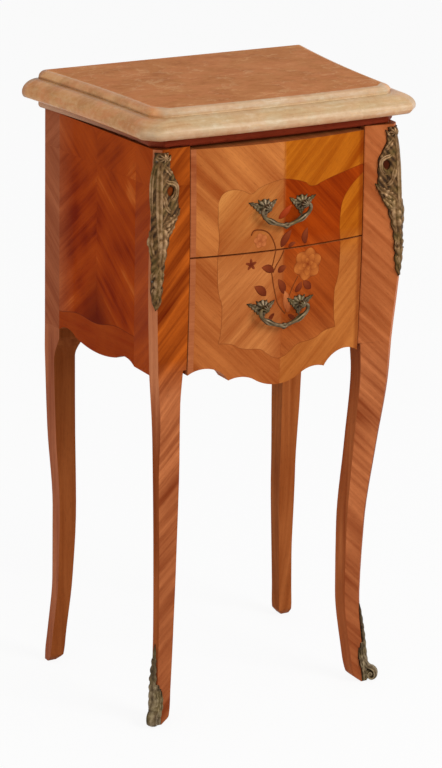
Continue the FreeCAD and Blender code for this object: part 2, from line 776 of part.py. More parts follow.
# each drawer: lowest and highest edge of its box, outline and bulges of its front, height of its pull
DRAWERS = {
    "upper": (f"({RAIL_HIGH_Z} + slide_gap)", f"({TOP_RAIL_Z} - kick_gap)", UPPER_OUTLINE, {},
              f"({SUB_TOP_Z} - upper_pull_drop)"),
    "lower": (f"({LOW_RUNNER_Z} + slide_gap)", f"({RAIL_LOW_Z} - kick_gap)", LOWER_OUTLINE, APRON_BULGES,
              f"({DIVISION_Z} - lower_pull_drop)"),
}


def tail_corners(low, high):
    """The flared tails at the front end of a drawer side, from the top one down."""
    rows = []
    for number in reversed(range(TAILS)):
        middle = f"{low} + ({span(low, high)}) * {2 * number + 1} / {2 * TAILS}"
        rows.append([
            (FRONT_BACK_Y, f"{middle} + tail_neck / 2"),
            (f"{FRONT_BACK_Y} - tail_length", f"{middle} + tail_neck / 2 + tail_flare"),
            (f"{FRONT_BACK_Y} - tail_length", f"{middle} - tail_neck / 2 - tail_flare"),
            (FRONT_BACK_Y, f"{middle} - tail_neck / 2")])
    return rows


def bow_face(body, name):
    """Turn the front's outer face: bowed about an upright axis behind it, and swelling a little in height."""
    end_y = f"{FRONT_CROWN_Y} + front_swell - {BOW_AXIS_Y}"
    far_y = f"{FRONT_CROWN_Y} - front_bow - {BOW_AXIS_Y}"
    low, high = f"{APRON_LOW_Z} - front_top_gap", SUB_TOP_Z
    sketch = new_sketch(body, name + "_face", "YZ_Plane", shift=BOW_AXIS_Y)
    outline(sketch, [(far_y, low), (end_y, low), (end_y, high), (far_y, high)], {1: "-front_swell"})
    doc.recompute()
    groove = body.newObject("PartDesign::Groove", name + "_bow")
    groove.Profile = sketch
    groove.ReferenceAxis = (sketch, ["V_Axis"])
    groove.Angle = 360
    doc.recompute()


def drawer_front(name, low, high, corners, bulges, pull):
    body = new_body(f"{name}_front")
    face = new_sketch(body, f"{name}_outline", "XZ_Plane", f"-{FRONT_BACK_Y}")
    outline(face, corners, bulges)
    pad(body, face, f"{FRONT_BACK_Y} - {FRONT_CROWN_Y}")
    bow_face(body, name)
    for side, start in (("right", FRONT_HALF), ("left", f"-{SIDE_INNER_X}")):
        sockets = new_sketch(body, f"{name}_sockets_{side}", "YZ_Plane", start)
        for tail in tail_corners(low, high):
            outline(sockets, tail)
        pocket(body, sockets, "drawer_side_thick")
    slot = new_sketch(body, f"{name}_slot", "XZ_Plane", f"bottom_groove - {FRONT_BACK_Y}")
    slot_x = f"({SIDE_INNER_X} + bottom_groove)"
    slot_z = f"{low} + drawer_bottom_lift"
    outline(slot, [(f"-{slot_x}", slot_z), (slot_x, slot_z), (slot_x, f"{slot_z} + drawer_bottom_thick"),
                   (f"-{slot_x}", f"{slot_z} + drawer_bottom_thick")])
    pocket(body, slot, "bottom_groove")
    for bore, radius, depth in (("seats", "seat_radius", "seat_sink"),
                                ("shanks", "shank_radius", f"{FRONT_BACK_Y} - {FRONT_CROWN_Y}")):
        holes = new_sketch(body, f"{name}_{bore}", "XZ_Plane", f"-{FRONT_CROWN_Y}")
        circle(holes, "-pull_half", pull, radius)
        circle(holes, "pull_half", pull, radius)
        pocket(body, holes, depth)
    return body


def drawer_side(name, side, sign, low, high):
    body = new_body(f"{name}_side_{side}")
    start = SIDE_INNER_X if sign > 0 else f"-{FRONT_HALF}"
    plan = new_sketch(body, f"{name}_side_outline_{side}", "YZ_Plane", start)
    corners = [(DRAWER_BACK_Y, low), (DRAWER_BACK_Y, high), (FRONT_BACK_Y, high)]
    corners += [corner for tail in tail_corners(low, high) for corner in tail]
    corners.append((FRONT_BACK_Y, low))
    outline(plan, corners)
    pad(body, plan, "drawer_side_thick")
    groove_from = f"{SIDE_INNER_X} + bottom_groove" if sign > 0 else f"-{SIDE_INNER_X}"
    groove = new_sketch(body, f"{name}_side_groove_{side}", "YZ_Plane", groove_from)
    groove_z = f"{low} + drawer_bottom_lift"
    groove_y = f"{FRONT_BACK_Y} - bottom_groove"
    outline(groove, [(groove_y, groove_z), (DRAWER_BACK_Y, groove_z),
                     (DRAWER_BACK_Y, f"{groove_z} + drawer_bottom_thick"),
                     (groove_y, f"{groove_z} + drawer_bottom_thick")])
    pocket(body, groove, "bottom_groove")
    return body


for name, (low, high, corners, bulges, pull) in DRAWERS.items():
    keep(drawer_front(name, low, high, corners, bulges, pull), f"{name}_drawer_front")
    for side, sign in SIDES:
        keep(drawer_side(name, side, sign, low, high), f"{name}_drawer_side_{side}")
    bottom_z = f"({low} + drawer_bottom_lift)"
    bottom_top_z = f"({bottom_z} + drawer_bottom_thick)"
    bottom_x = f"({SIDE_INNER_X} + bottom_groove)"
    bottom = board(f"{name}_bottom", (f"-{bottom_x}", bottom_x),
                   (f"{FRONT_BACK_Y} - bottom_groove", DRAWER_BACK_Y), (bottom_z, bottom_top_z))
    keep(bottom, f"{name}_drawer_bottom")
    back = board(f"{name}_back", (f"-{SIDE_INNER_X}", SIDE_INNER_X),
                 (f"{DRAWER_BACK_Y} - drawer_back_thick", DRAWER_BACK_Y), (bottom_top_z, high))
    keep(back, f"{name}_drawer_back")


# Pulls: two turned posts through the front, a nut behind each, and a bail that swings between them

def pull_post(name, side, sign, pull):
    body = new_body(f"{name}_pull_{side}")
    sketch = new_sketch(body, f"{name}_pull_profile_{side}", "XY_Plane", pull, shift=f"{sign} * pull_half")
    tip_y = f"{PIVOT_Y} - knob_radius"
    neck = "knob_radius / 2"
    neck_y = f"{PIVOT_Y} + knob_radius * sqrt(3) / 2"
    face_y = f"{SEAT_Y} - seat_thick"
    end_y = f"{FRONT_BACK_Y} + shank_tail"
    outline(sketch, [("0", tip_y), ("knob_radius", PIVOT_Y), (neck, neck_y), (neck, face_y),
                     ("seat_radius", face_y), ("seat_radius", SEAT_Y), ("shank_radius", SEAT_Y),
                     ("shank_radius", end_y), ("0", end_y)],
            {0: "knob_radius * (1 - sqrt(2) / 2)", 1: "knob_radius * (1 - sqrt(3) / 2)"})
    doc.recompute()
    turning = body.newObject("PartDesign::Revolution", f"{name}_pull_turning_{side}")
    turning.Profile = sketch
    turning.ReferenceAxis = (sketch, ["V_Axis"])
    turning.Angle = 360
    start = "pull_half + knob_radius" if sign > 0 else "-pull_half"
    bore = new_sketch(body, f"{name}_pull_bore_{side}", "YZ_Plane", start)
    circle(bore, PIVOT_Y, pull, "pin_radius + pin_play")
    pocket(body, bore, "knob_radius")
    return body


def pull_nut(name, side, sign, pull):
    nut = doc.addObject("Part::Prism", f"{name}_nut_{side}")
    nut.Polygon = 6
    nut.setExpression("Circumradius", linked("nut_radius"))
    nut.setExpression("Height", linked("nut_thick"))
    nut.Placement = FreeCAD.Placement(
        FreeCAD.Vector(), FreeCAD.Rotation(FreeCAD.Vector(0, 0, 1), FreeCAD.Vector(0, 1, 0)))
    place(nut, f"{sign} * pull_half", FRONT_BACK_Y, pull)
    thread = rod(f"{name}_thread_{side}", "shank_radius", "nut_thick",
                 (f"{sign} * pull_half", FRONT_BACK_Y, pull), FreeCAD.Vector(0, 1, 0))
    return cut(f"{name}_ring_{side}", nut, thread)


def bail(name, pull):
    """A wire bent to a hook at each end, with one wide sweep between, and a pin in from each hook."""
    body = new_body(f"{name}_bail_wire")
    start_x = "(pull_half + knob_radius + bail_gap)"
    hook_x = f"({start_x} + bail_hook * sin(bail_turn * 1deg))"
    hook_z = f"({pull} - bail_hook * (1 - cos(bail_turn * 1deg)))"
    sweep = f"{hook_x} / sin(bail_turn * 1deg) * (1 + cos(bail_turn * 1deg))"
    hook_rise = "bail_hook * (1 - cos(bail_turn / 2 * 1deg))"
    path = new_sketch(body, f"{name}_bail_path", "XZ_Plane", f"-{PIVOT_Y}")
    outline(path, [(start_x, pull), (hook_x, hook_z), (f"-{hook_x}", hook_z), (f"-{start_x}", pull)],
            {0: f"-{hook_rise}", 1: f"-({sweep})", 2: f"-{hook_rise}"}, closed=False)
    section = new_sketch(body, f"{name}_bail_section", "YZ_Plane", start_x)
    circle(section, PIVOT_Y, pull, "bail_radius")
    doc.recompute()
    pipe = body.newObject("PartDesign::AdditivePipe", f"{name}_bail_pipe")
    pipe.Profile = section
    pipe.Spine = (path, ["Edge1", "Edge2", "Edge3"])
    doc.recompute()
    reach = "(bail_gap + pin_length)"
    for side, start in (("right", f"{start_x} - {reach}"), ("left", f"-{start_x}")):
        end = new_sketch(body, f"{name}_bail_pin_{side}", "YZ_Plane", start)
        circle(end, PIVOT_Y, pull, "pin_radius")
        pad(body, end, reach)
    return body


for name, (*_, pull) in DRAWERS.items():
    for side, sign in SIDES:
        keep(pull_post(name, side, sign, pull), f"{name}_pull_post_{side}")
    nuts = group(f"{name}_nuts", [pull_nut(name, side, sign, pull) for side, sign in SIDES])
    keep(nuts, f"{name}_pull_nuts")
    keep(bail(name, pull), f"{name}_bail")


# Fasteners: dowels in the post tops, nails in the back panel, brads through mounts and shoes

UP = FreeCAD.Vector(0, 0, 1)
FORWARD = FreeCAD.Vector(0, -1, 0)
dowels, nails, brads = [], [], []
DOWEL_Z = f"{SUB_TOP_Z} - dowel_sink"
MOUNT_TOP_Z = f"({SUB_TOP_Z} - mount_top_gap)"
CORNER_X = "(case_width_front / 2 - post_cant / 2)"
CORNER_Y = f"({FRONT_Y} + post_cant / 2)"
HEEL_X = "(case_width_front / 2 + heel_out - leg_cant / 2)"
HEEL_Y = f"({FRONT_Y} - heel_fore + leg_cant / 2)"
FRONT_BRAD = "knee_reach + mount_thick / 2"
brad_places = (
    (f"{CORNER_X} + mount_thick / 2", f"{CORNER_Y} - mount_thick / 2", f"{MOUNT_TOP_Z} - 2 * mount_top_gap"),
    (f"{CORNER_X} + {FRONT_BRAD}", f"{CORNER_Y} - ({FRONT_BRAD})", KNEE_Z),
    (f"{HEEL_X} + shoe_thick / 2", f"{HEEL_Y} - shoe_thick / 2", f"{CASE_FLOOR} * heel_level"),
)
dowel_places = (
    (f"{OPENING_X} + post_width / 2", f"{FRONT_Y} + post_depth / 2"),
    (f"{BACK_INNER_X} + back_post / 2", f"{BACK_Y} - back_post / 2"),
)
for side, sign in SIDES:
    for x, y in dowel_places:
        foot = (f"{sign} * ({x})", y, DOWEL_Z)
        dowels.append(rod(f"dowel_{side}", "dowel_radius", "dowel_length", foot, UP))
    nail_x = f"{sign} * ({RUNNER_X} + runner_width / 2)"
    for height in (f"{FLOOR_LOW_Z} + floor_thick / 2", DIVISION_Z, f"{TOP_RAIL_Z} + rail_thick / 2"):
        nails.append(rod(f"nail_{side}", "nail_radius", "nail_length",
                         (nail_x, f"{PANEL_Y} + back_panel_thick", height), FORWARD))
    inward = FreeCAD.Vector(-sign, 1, 0)
    for x, y, height in brad_places:
        head = (f"{sign} * ({x})", y, height)
        brads.append(rod(f"brad_{side}", "brad_radius", "brad_length", head, inward))
top_dowels = keep(group("dowels", dowels), "top_dowels")
back_nails = keep(group("nails", nails), "back_panel_nails")
mount_brads = keep(group("brads", brads), "mount_brads")

keep(cut("sub_top_bored", sub_top, top_dowels), "sub_top")
keep(cut("floor_bored", floor_board, back_nails), "bottom_board")
keep(cut("back_rail_bored", back_rail, back_nails), "back_rail")
keep(cut("back_panel_bored", back_panel, back_nails), "back_panel")
for (side, _), kicker in zip(SIDES, kickers):
    keep(cut(f"kicker_bored_{side}", kicker, back_nails), f"kicker_{side}")
for side, _ in SIDES:
    bored = cut(f"front_leg_bored_{side}", leg_blanks["front", side], top_dowels, mount_brads)
    keep(bored, f"front_leg_{side}")
    keep(cut(f"back_leg_bored_{side}", leg_blanks["back", side], top_dowels), f"back_leg_{side}")


# Bronze corner mounts and shoes: a jacket round the leg's outer corner, cut to a leaf outline

def between(first, last, share):
    """The point that lies a share of the way from one corner to another."""
    return tuple(f"({a} + ({span(a, b)}) * {share})" for a, b in zip(first, last))


def jacket_section(corners, thick, wrap):
    """The jacket round a section's canted corner: thick at the cant, thinner at its two wings."""
    inner_front, cant_front, cant_side, outer_back, _ = corners
    front = between(cant_front, inner_front, wrap)
    flank = between(cant_side, outer_back, wrap)
    return [
        (front[0], f"{front[1]} + {thick}"),
        (front[0], f"{front[1]} - {thick} / 2"),
        (f"{cant_front[0]} + {thick} / 2", f"{cant_front[1]} - {thick}"),
        (f"{cant_side[0]} + {thick}", f"{cant_side[1]} - {thick} / 2"),
        (f"{flank[0]} + {thick} / 2", flank[1]),
        (f"{flank[0]} - {thick}", flank[1]),
        (f"{cant_front[0]} - {thick}", f"{cant_side[1]} + {thick}"),
    ]


def leaf_prism(name, sign, x, y, corners, bulges):
    """A block as long as the jacket is deep, with a leaf outline seen along the diagonal."""
    body = new_body(name)
    depth = "mount_width"
    sketch = new_sketch(body, name + "_leaf", "XZ_Plane", f"-({y} + {depth})",
                        shift=f"{sign} * ({x} - {depth})", turn=45 * sign)
    outline(sketch, corners, bulges)
    pad(body, sketch, f"3 * {depth}")
    return body


MOUNT_MIDDLE_Z = f"({MOUNT_TOP_Z} - mount_length * (1 - mount_waist))"
MOUNT_TAIL_Z = f"({MOUNT_TOP_Z} - mount_length)"
MOUNT_LEAF = [("-mount_tail_width / 2", MOUNT_TAIL_Z), ("mount_tail_width / 2", MOUNT_TAIL_Z),
              ("mount_width / 2", MOUNT_MIDDLE_Z), ("mount_width / 4", MOUNT_TOP_Z),
              ("-mount_width / 4", MOUNT_TOP_Z), ("-mount_width / 2", MOUNT_MIDDLE_Z)]
MOUNT_BULGES = {1: "-mount_tail_width / 2", 2: "mount_tail_width / 2", 4: "mount_tail_width / 2",
                5: "-mount_tail_width / 2"}
SHOE_LEAF = [("-shoe_width / 2", "0"), ("shoe_width / 2", "0"), ("shoe_width / 2", "shoe_height / 2"),
             ("shoe_thick / 2", "shoe_tip_height"), ("-shoe_thick / 2", "shoe_tip_height"),
             ("-shoe_width / 2", "shoe_height / 2")]
SHOE_BULGES = {2: "-shoe_thick", 4: "-shoe_thick"}
TOE_X = "(case_width_front / 2 + foot_out - leg_cant / 2 + toe_reach)"
TOE_Y = f"({FRONT_Y} - foot_fore + leg_cant / 2 - toe_reach)"

for side, sign in SIDES:
    mount_rows = [(height, jacket_section(corners, "mount_thick", "mount_wrap"))
                  for height, corners in front_post_stations()]
    jacket = leg_blank(f"mount_jacket_{side}", mount_rows, sign)
    prism = leaf_prism(f"mount_prism_{side}", sign, CORNER_X, CORNER_Y, MOUNT_LEAF, MOUNT_BULGES)
    leaf = doc.addObject("Part::Common", f"mount_leaf_{side}")
    leaf.Base = jacket
    leaf.Tool = prism
    keep(cut(f"mount_bored_{side}", leaf, leg_blanks["front", side], mount_brads), f"corner_mount_{side}")

    shoe_rows = [(height, jacket_section(corners, "shoe_thick", "shoe_wrap"))
                 for height, corners in front_leg_stations()[:4]]
    jacket = leg_blank(f"shoe_jacket_{side}", shoe_rows, sign)
    prism = leaf_prism(f"shoe_prism_{side}", sign, HEEL_X, HEEL_Y, SHOE_LEAF, SHOE_BULGES)
    leaf = doc.addObject("Part::Common", f"shoe_leaf_{side}")
    leaf.Base = jacket
    leaf.Tool = prism
    toe = doc.addObject("Part::Sphere", f"toe_{side}")
    toe.setExpression("Radius", linked("toe_radius"))
    place(toe, f"{sign} * {TOE_X}", TOE_Y, "toe_height")
    shoe = doc.addObject("Part::Fuse", f"shoe_fused_{side}")
    shoe.Base = leaf
    shoe.Tool = toe
    keep(cut(f"shoe_bored_{side}", shoe, leg_blanks["front", side], mount_brads), f"shoe_{side}")


# Check every object, then write each piece

doc.recompute()
for item in doc.Objects:
    if {"Invalid", "Error"} & set(item.State):
        raise RuntimeError(f"{item.Label} did not rebuild")
os.makedirs("parts", exist_ok=True)
for piece in parts:
    if piece.Shape.isNull() or not piece.Shape.isValid():
        raise RuntimeError(f"{piece.Label} has no valid shape")
for piece in parts:
    piece.Shape.exportStep(f"parts/{piece.Label}.step")
    print(piece.Label, len(piece.Shape.Solids), round(piece.Shape.Volume))
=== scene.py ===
import bmesh
import bpy
import numpy as np
from mathutils import Matrix, Vector


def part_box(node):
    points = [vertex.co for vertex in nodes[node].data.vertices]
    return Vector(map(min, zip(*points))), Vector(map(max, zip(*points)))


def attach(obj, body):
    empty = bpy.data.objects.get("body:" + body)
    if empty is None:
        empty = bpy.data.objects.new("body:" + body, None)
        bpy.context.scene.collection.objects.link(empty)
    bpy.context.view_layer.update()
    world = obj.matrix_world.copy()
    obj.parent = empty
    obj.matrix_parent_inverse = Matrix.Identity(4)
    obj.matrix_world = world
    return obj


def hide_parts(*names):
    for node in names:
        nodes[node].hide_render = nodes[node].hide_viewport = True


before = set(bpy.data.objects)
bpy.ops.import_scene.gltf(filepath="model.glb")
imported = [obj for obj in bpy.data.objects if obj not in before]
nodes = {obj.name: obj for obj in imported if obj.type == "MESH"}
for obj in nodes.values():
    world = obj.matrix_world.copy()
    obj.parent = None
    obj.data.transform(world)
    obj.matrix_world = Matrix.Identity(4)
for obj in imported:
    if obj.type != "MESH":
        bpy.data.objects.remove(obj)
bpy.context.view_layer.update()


# Carcass: rails, floor, back board, and the runners, guides and kickers that the drawers slide on.
# Sawn oak and pine, left bare inside the case and at the back, with two stained beech rails at the front; all
# housed and glued.

MILLIMETRE = 0.001
WAX_ROUGHNESS = 0.45
WAX_SHEEN = 0.012
DRY_ROUGHNESS = 0.72
ALONG_X, ALONG_Y, ALONG_Z = range(3)
LEVELS = "upper", "lower"
SIDES = {"left": -1, "right": 1}


class Wire:
    """A number that a finish works out at each point; sums and comparisons with it add nodes."""

    def __init__(self, finish, socket):
        self.finish = finish
        self.socket = socket

    def __add__(self, other):
        return self.finish.math("ADD", self, other)

    def __sub__(self, other):
        return self.finish.math("SUBTRACT", self, other)

    def __rsub__(self, other):
        return self.finish.math("SUBTRACT", other, self)

    def __mul__(self, other):
        return self.finish.math("MULTIPLY", self, other)

    def __abs__(self):
        return self.finish.math("ABSOLUTE", self)

    __radd__ = __add__
    __rmul__ = __mul__

    def over(self, edge, soft):
        """0 below the edge and 1 above it, changing evenly across a strip as wide as soft."""
        return self.finish.math("MULTIPLY_ADD", self - edge, 1 / soft, 0.5, clamp=True)

    def least(self, other):
        """The smaller of two numbers."""
        return self.finish.math("MINIMUM", self, other)

    def most(self, other):
        """The larger of two numbers."""
        return self.finish.math("MAXIMUM", self, other)

    def towards(self, other, share):
        """This number where share is 0, the other where it is 1, and a mix between."""
        return self + (other - self) * share


class Finish:
    """One surface finish as a node tree; the calls add nodes and hand back what they give."""

    def __init__(self, name):
        self.material = bpy.data.materials.new(name)
        self.material.use_nodes = True
        self.nodes = self.material.node_tree.nodes
        self.links = self.material.node_tree.links
        self.shader = self.nodes["Principled BSDF"]

    def feed(self, socket, value):
        """Links an output to a socket, or sets a plain value on it."""
        if isinstance(value, Wire):
            value = value.socket
        if isinstance(value, bpy.types.NodeSocket):
            self.links.new(value, socket)
        else:
            socket.default_value = value

    def math(self, operation, *values, clamp=False):
        """One sum on numbers, held between 0 and 1 if clamped."""
        node = self.nodes.new("ShaderNodeMath")
        node.operation = operation
        node.use_clamp = clamp
        for socket, value in zip(node.inputs, values):
            self.feed(socket, value)
        return Wire(self, node.outputs[0])

    def parts(self, vector):
        """The three numbers of a vector."""
        node = self.nodes.new("ShaderNodeSeparateXYZ")
        self.links.new(vector, node.inputs[0])
        return [Wire(self, output) for output in node.outputs]

    def place(self):
        """The point's place in the object's frame, in millimetres."""
        where = self.nodes.new("ShaderNodeTexCoord").outputs["Object"]
        return [part * (1 / MILLIMETRE) for part in self.parts(where)]

    def facing(self):
        """The direction that the surface faces."""
        return self.parts(self.nodes.new("ShaderNodeNewGeometry").outputs["True Normal"])

    def tint(self):
        """The shade that a mesh carries at each of its points."""
        node = self.nodes.new("ShaderNodeAttribute")
        node.attribute_name = "tint"
        return Wire(self, node.outputs["Fac"])

    def noise(self, x, y, z, detail=2.0, rough=0.5):
        """Cloudy noise from 0 to 1, about one lump to each unit of the three numbers."""
        where = self.nodes.new("ShaderNodeCombineXYZ")
        for socket, value in zip(where.inputs, (x, y, z)):
            self.feed(socket, value)
        node = self.nodes.new("ShaderNodeTexNoise")
        node.inputs["Scale"].default_value = 1.0
        node.inputs["Detail"].default_value = detail
        node.inputs["Roughness"].default_value = rough
        self.links.new(where.outputs[0], node.inputs["Vector"])
        return Wire(self, node.outputs[0])

    def blend(self, share, first, second):
        """The first colour where share is 0 and the second where it is 1."""
        node = self.nodes.new("ShaderNodeMix")
        node.data_type = "RGBA"
        for number, value in ((0, share), (6, first), (7, second)):
            self.feed(node.inputs[number], value)
        return node.outputs[2]

    def lay(self, colour, *layers):
        """The colour with tones laid over it one after another, each by its share."""
        for share, over in layers:
            colour = self.blend(share, colour, over)
        return colour

    def ramp(self, share, *stops):
        """A colour read off a row of stops, each a place from 0 to 1 and its colour."""
        node = self.nodes.new("ShaderNodeValToRGB")
        self.feed(node.inputs[0], share)
        marks = node.color_ramp.elements
        for number, (place, colour) in enumerate(stops):
            mark = marks[number] if number < 2 else marks.new(place)
            mark.position = place
            mark.color = colour
        return node.outputs[0]

    def polish(self, colour, rough, relief=None, **plain):
        """Feeds the shader its colour, roughness, relief in millimetres and plain values by socket."""
        self.feed(self.shader.inputs["Base Color"], colour)
        self.feed(self.shader.inputs["Roughness"], rough)
        for name, value in plain.items():
            self.shader.inputs[name.replace("_", " ")].default_value = value
        if relief is not None:
            bump = self.nodes.new("ShaderNodeBump")
            bump.inputs["Distance"].default_value = MILLIMETRE
            self.feed(bump.inputs["Height"], relief)
            self.links.new(bump.outputs[0], self.shader.inputs["Normal"])

    def wax(self, colour, pores, filler):
        """A waxed veneer of the colour given: its pores sunk and filled darker, with a low sheen."""
        filled = self.blend(pores * 0.3, colour, filler)
        self.polish(filled, WAX_ROUGHNESS, relief=pores * -0.03, Specular_IOR_Level=WAX_SHEEN)

    def cover(self, *names):
        """Puts the finish on CAD nodes in place of their plain colour."""
        for name in names:
            for holder in nodes[name].material_slots:
                holder.material = self.material


def tone(red, green, blue):
    """A colour on the 0 to 255 scale of a screen, as the linear light that a shader takes."""
    share = np.array([red, green, blue]) / 255
    light = np.where(share <= 0.04045, share / 12.92, ((share + 0.055) / 1.055) ** 2.4)
    return (*light.tolist(), 1.0)


def grain(finish, across, along, sheet, shades=1.1, bands=0.9, streaks=0.7):
    """Figure of one sheet of wood from 0 dark to 1 light, and its pores from 0 to 1: noise drawn out along
    the grain, as shades about 30 mm wide, bands about 7 mm, streaks about 2 mm and pores of a few tenths."""
    broad = finish.noise(across * 0.033, along * 0.009, sheet, detail=1.0)
    band = finish.noise(across * 0.15, along * 0.007, sheet + 5.3, detail=1.0)
    fine = finish.noise(across * 0.6, along * 0.012, sheet + 3.7, detail=3.0, rough=0.6)
    pores = finish.noise(across * 2.6, along * 0.11, sheet + 8.1, detail=2.0)
    lean = (broad - 0.5) * shades + (band - 0.5) * bands + (fine - 0.5) * streaks
    return finish.math("ADD", lean, 0.5, clamp=True), pores.over(0.62, 0.14)


def bare_wood(name, lengthwise, dark, light):
    """Sawn wood whose grain runs along one axis of the frame, dry and unpolished."""
    finish = Finish(name)
    place = finish.place()
    along = place.pop(lengthwise)
    figure, pores = grain(finish, place[0] + place[1] * 0.7, along, place[1] * 0.05)
    colour = finish.blend(figure, dark, light)
    dusty = finish.blend(pores * 0.5, colour, tone(74, 48, 28))
    finish.polish(dusty, DRY_ROUGHNESS, relief=pores * -0.06 + figure * 0.05)
    return finish


def stained_wood(name, dark, light, pale_ends=0.0):
    """Beech stained red, its grain along the table's width; its ends are paler, more towards the back."""
    finish = Finish(name)
    x, y, z = finish.place()
    figure, pores = grain(finish, y + z * 0.6, x, 1.0)
    end = abs(finish.facing()[0]).over(0.6, 0.2)
    colour = finish.blend(figure, dark, light)
    colour = finish.blend(end * y.over(0.0, 220.0) * pale_ends, colour, tone(198, 154, 124))
    finish.wax(colour, pores, tone(46, 14, 8))
    return finish


OAK = tone(146, 104, 62), tone(190, 148, 98)
PINE = tone(150, 98, 54), tone(196, 146, 90)
stained_wood("stained_rails", tone(136, 48, 22), tone(180, 84, 44)).cover("front_top_rail", "divider_rail")
bare_wood("oak_cross_boards", ALONG_X, *OAK).cover("back_rail", "bottom_board")
runners = [f"{level}_{kind}_{side}" for level in LEVELS for kind in ("runner", "guide") for side in SIDES]
bare_wood("oak_runners", ALONG_Y, *OAK).cover(*runners, "kicker_left", "kicker_right")
bare_wood("pine_back_board", ALONG_X, *PINE).cover("back_panel")


# Side panels: splayed boards between the posts, with a scalloped lower edge.
# Veneered with sheets whose stripes meet in a zigzag, over a shaped border of plainer veneer.

SIDE_MIDDLE_Y = 11.85
PANEL_HALF = 82.5
MEETING_Z = 645.0
ZIGZAG_SLOPE = 0.8
SIDE_SHEET = 7.2
BORDER_Z = 461.0
BORDER_WAVE = 2.2
BORDER_TURN = 0.075
BORDER_TILT = 0.077
SCORCH_REACH = 46.0
FADED_Y = 78.0
PALE_TOP_Z = 640.0
BACK_POST_TONES = tone(130, 60, 34), tone(182, 106, 70)


def side_zigzag(y, z):
    """Numbers across and along the side's stripes, and one for each sheet: folds at the height where four
    sheets meet, down the middle of the panel and at each post; the stripes fall away from the middle."""
    folded = PANEL_HALF - abs(abs(y - SIDE_MIDDLE_Y) - PANEL_HALF)
    off_meeting = abs(z - MEETING_Z)
    steep = 1 / (1 + ZIGZAG_SLOPE ** 2) ** 0.5
    across = (off_meeting - folded * ZIGZAG_SLOPE) * steep
    along = (off_meeting * ZIGZAG_SLOPE + folded) * steep
    sheet = SIDE_SHEET + z.over(MEETING_Z, 0.4) * 4.3 + y.over(SIDE_MIDDLE_Y, 0.4) * 2.1
    return across, along, sheet


def side_veneer(name):
    """Striped veneer on the outer face, scorched low in its middle, faded towards the back and paler at the
    top; level grain in the border under a waved line; plain wood on the edges and the inner face."""
    finish = Finish(name)
    x, y, z = finish.place()
    outer = abs(finish.facing()[0]).over(0.6, 0.2)
    across, along, sheet = side_zigzag(y, z)
    off_middle = y - SIDE_MIDDLE_Y
    wave = finish.math("COSINE", off_middle * BORDER_TURN) * BORDER_WAVE + off_middle * BORDER_TILT
    into_border = BORDER_Z - wave - z
    border = into_border.over(0.0, 0.5)
    figure, pores = grain(finish, across.towards(z, border), along.towards(y, border), sheet, 0.6, 0.9, 0.3)
    cloud = finish.noise(y * 0.024, z * 0.017, abs(x) * 0.01 + 3.0, detail=1.0)
    figure = finish.math("ADD", figure, (cloud - 0.5) * 1.1, clamp=True)
    field = finish.ramp(figure, (0.08, tone(120, 31, 4)), (0.4, tone(152, 54, 9)), (0.7, tone(168, 66, 13)),
                        (0.95, tone(194, 96, 36)))
    scorch = (SCORCH_REACH - abs(off_middle) - (z - BORDER_Z) * 0.8).over(14.0, 54.0)
    faded = finish.blend(figure, *BACK_POST_TONES)
    plain = finish.blend(figure, tone(140, 46, 8), tone(164, 70, 20))
    line = 1 - abs(into_border).over(0.5, 0.5)
    colour = finish.lay(
        field,
        (scorch * 0.85, tone(88, 18, 4)),
        (y.over(FADED_Y, 36.0) * 0.6, faded),
        (z.over(PALE_TOP_Z, 80.0) * 0.3, tone(180, 82, 26)),
        (border, plain),
        (line * 0.5, tone(70, 22, 8)))
    edge = finish.blend(figure, tone(104, 50, 24), tone(146, 80, 42))
    finish.wax(finish.blend(outer, edge, colour), pores, tone(60, 18, 6))
    return finish


side_veneer("zigzag_side_veneer").cover("side_panel_left", "side_panel_right")


# Posts and legs: the four corner posts run down into cabriole legs, each sawn from one length of beech.
# Veneered on the faces that show, in slanting stripes, with a narrow pale strip down the canted corner.

SLANT = 0.707
KNEE_Z = 425.0
STRIPES_END_Z = 430.0
BELOW_FLOOR = -1.0
UNDER_CASE_Z = 390.0
STRIP_CHANGE_Z = 375.0
LOW_LEG_Z = 170.0
DRAWER_EDGE_X = 113.0
MOUNT_HOLE_X = 140.0
MOUNT_HOLE_Z = 641.0
FRONT_SIDE_TONES = tone(116, 28, 4), tone(184, 80, 22)
FRONT_INNER_TONES = tone(142, 64, 26), tone(186, 106, 58)
BACK_INNER_TONES = tone(128, 60, 22), tone(174, 100, 52)


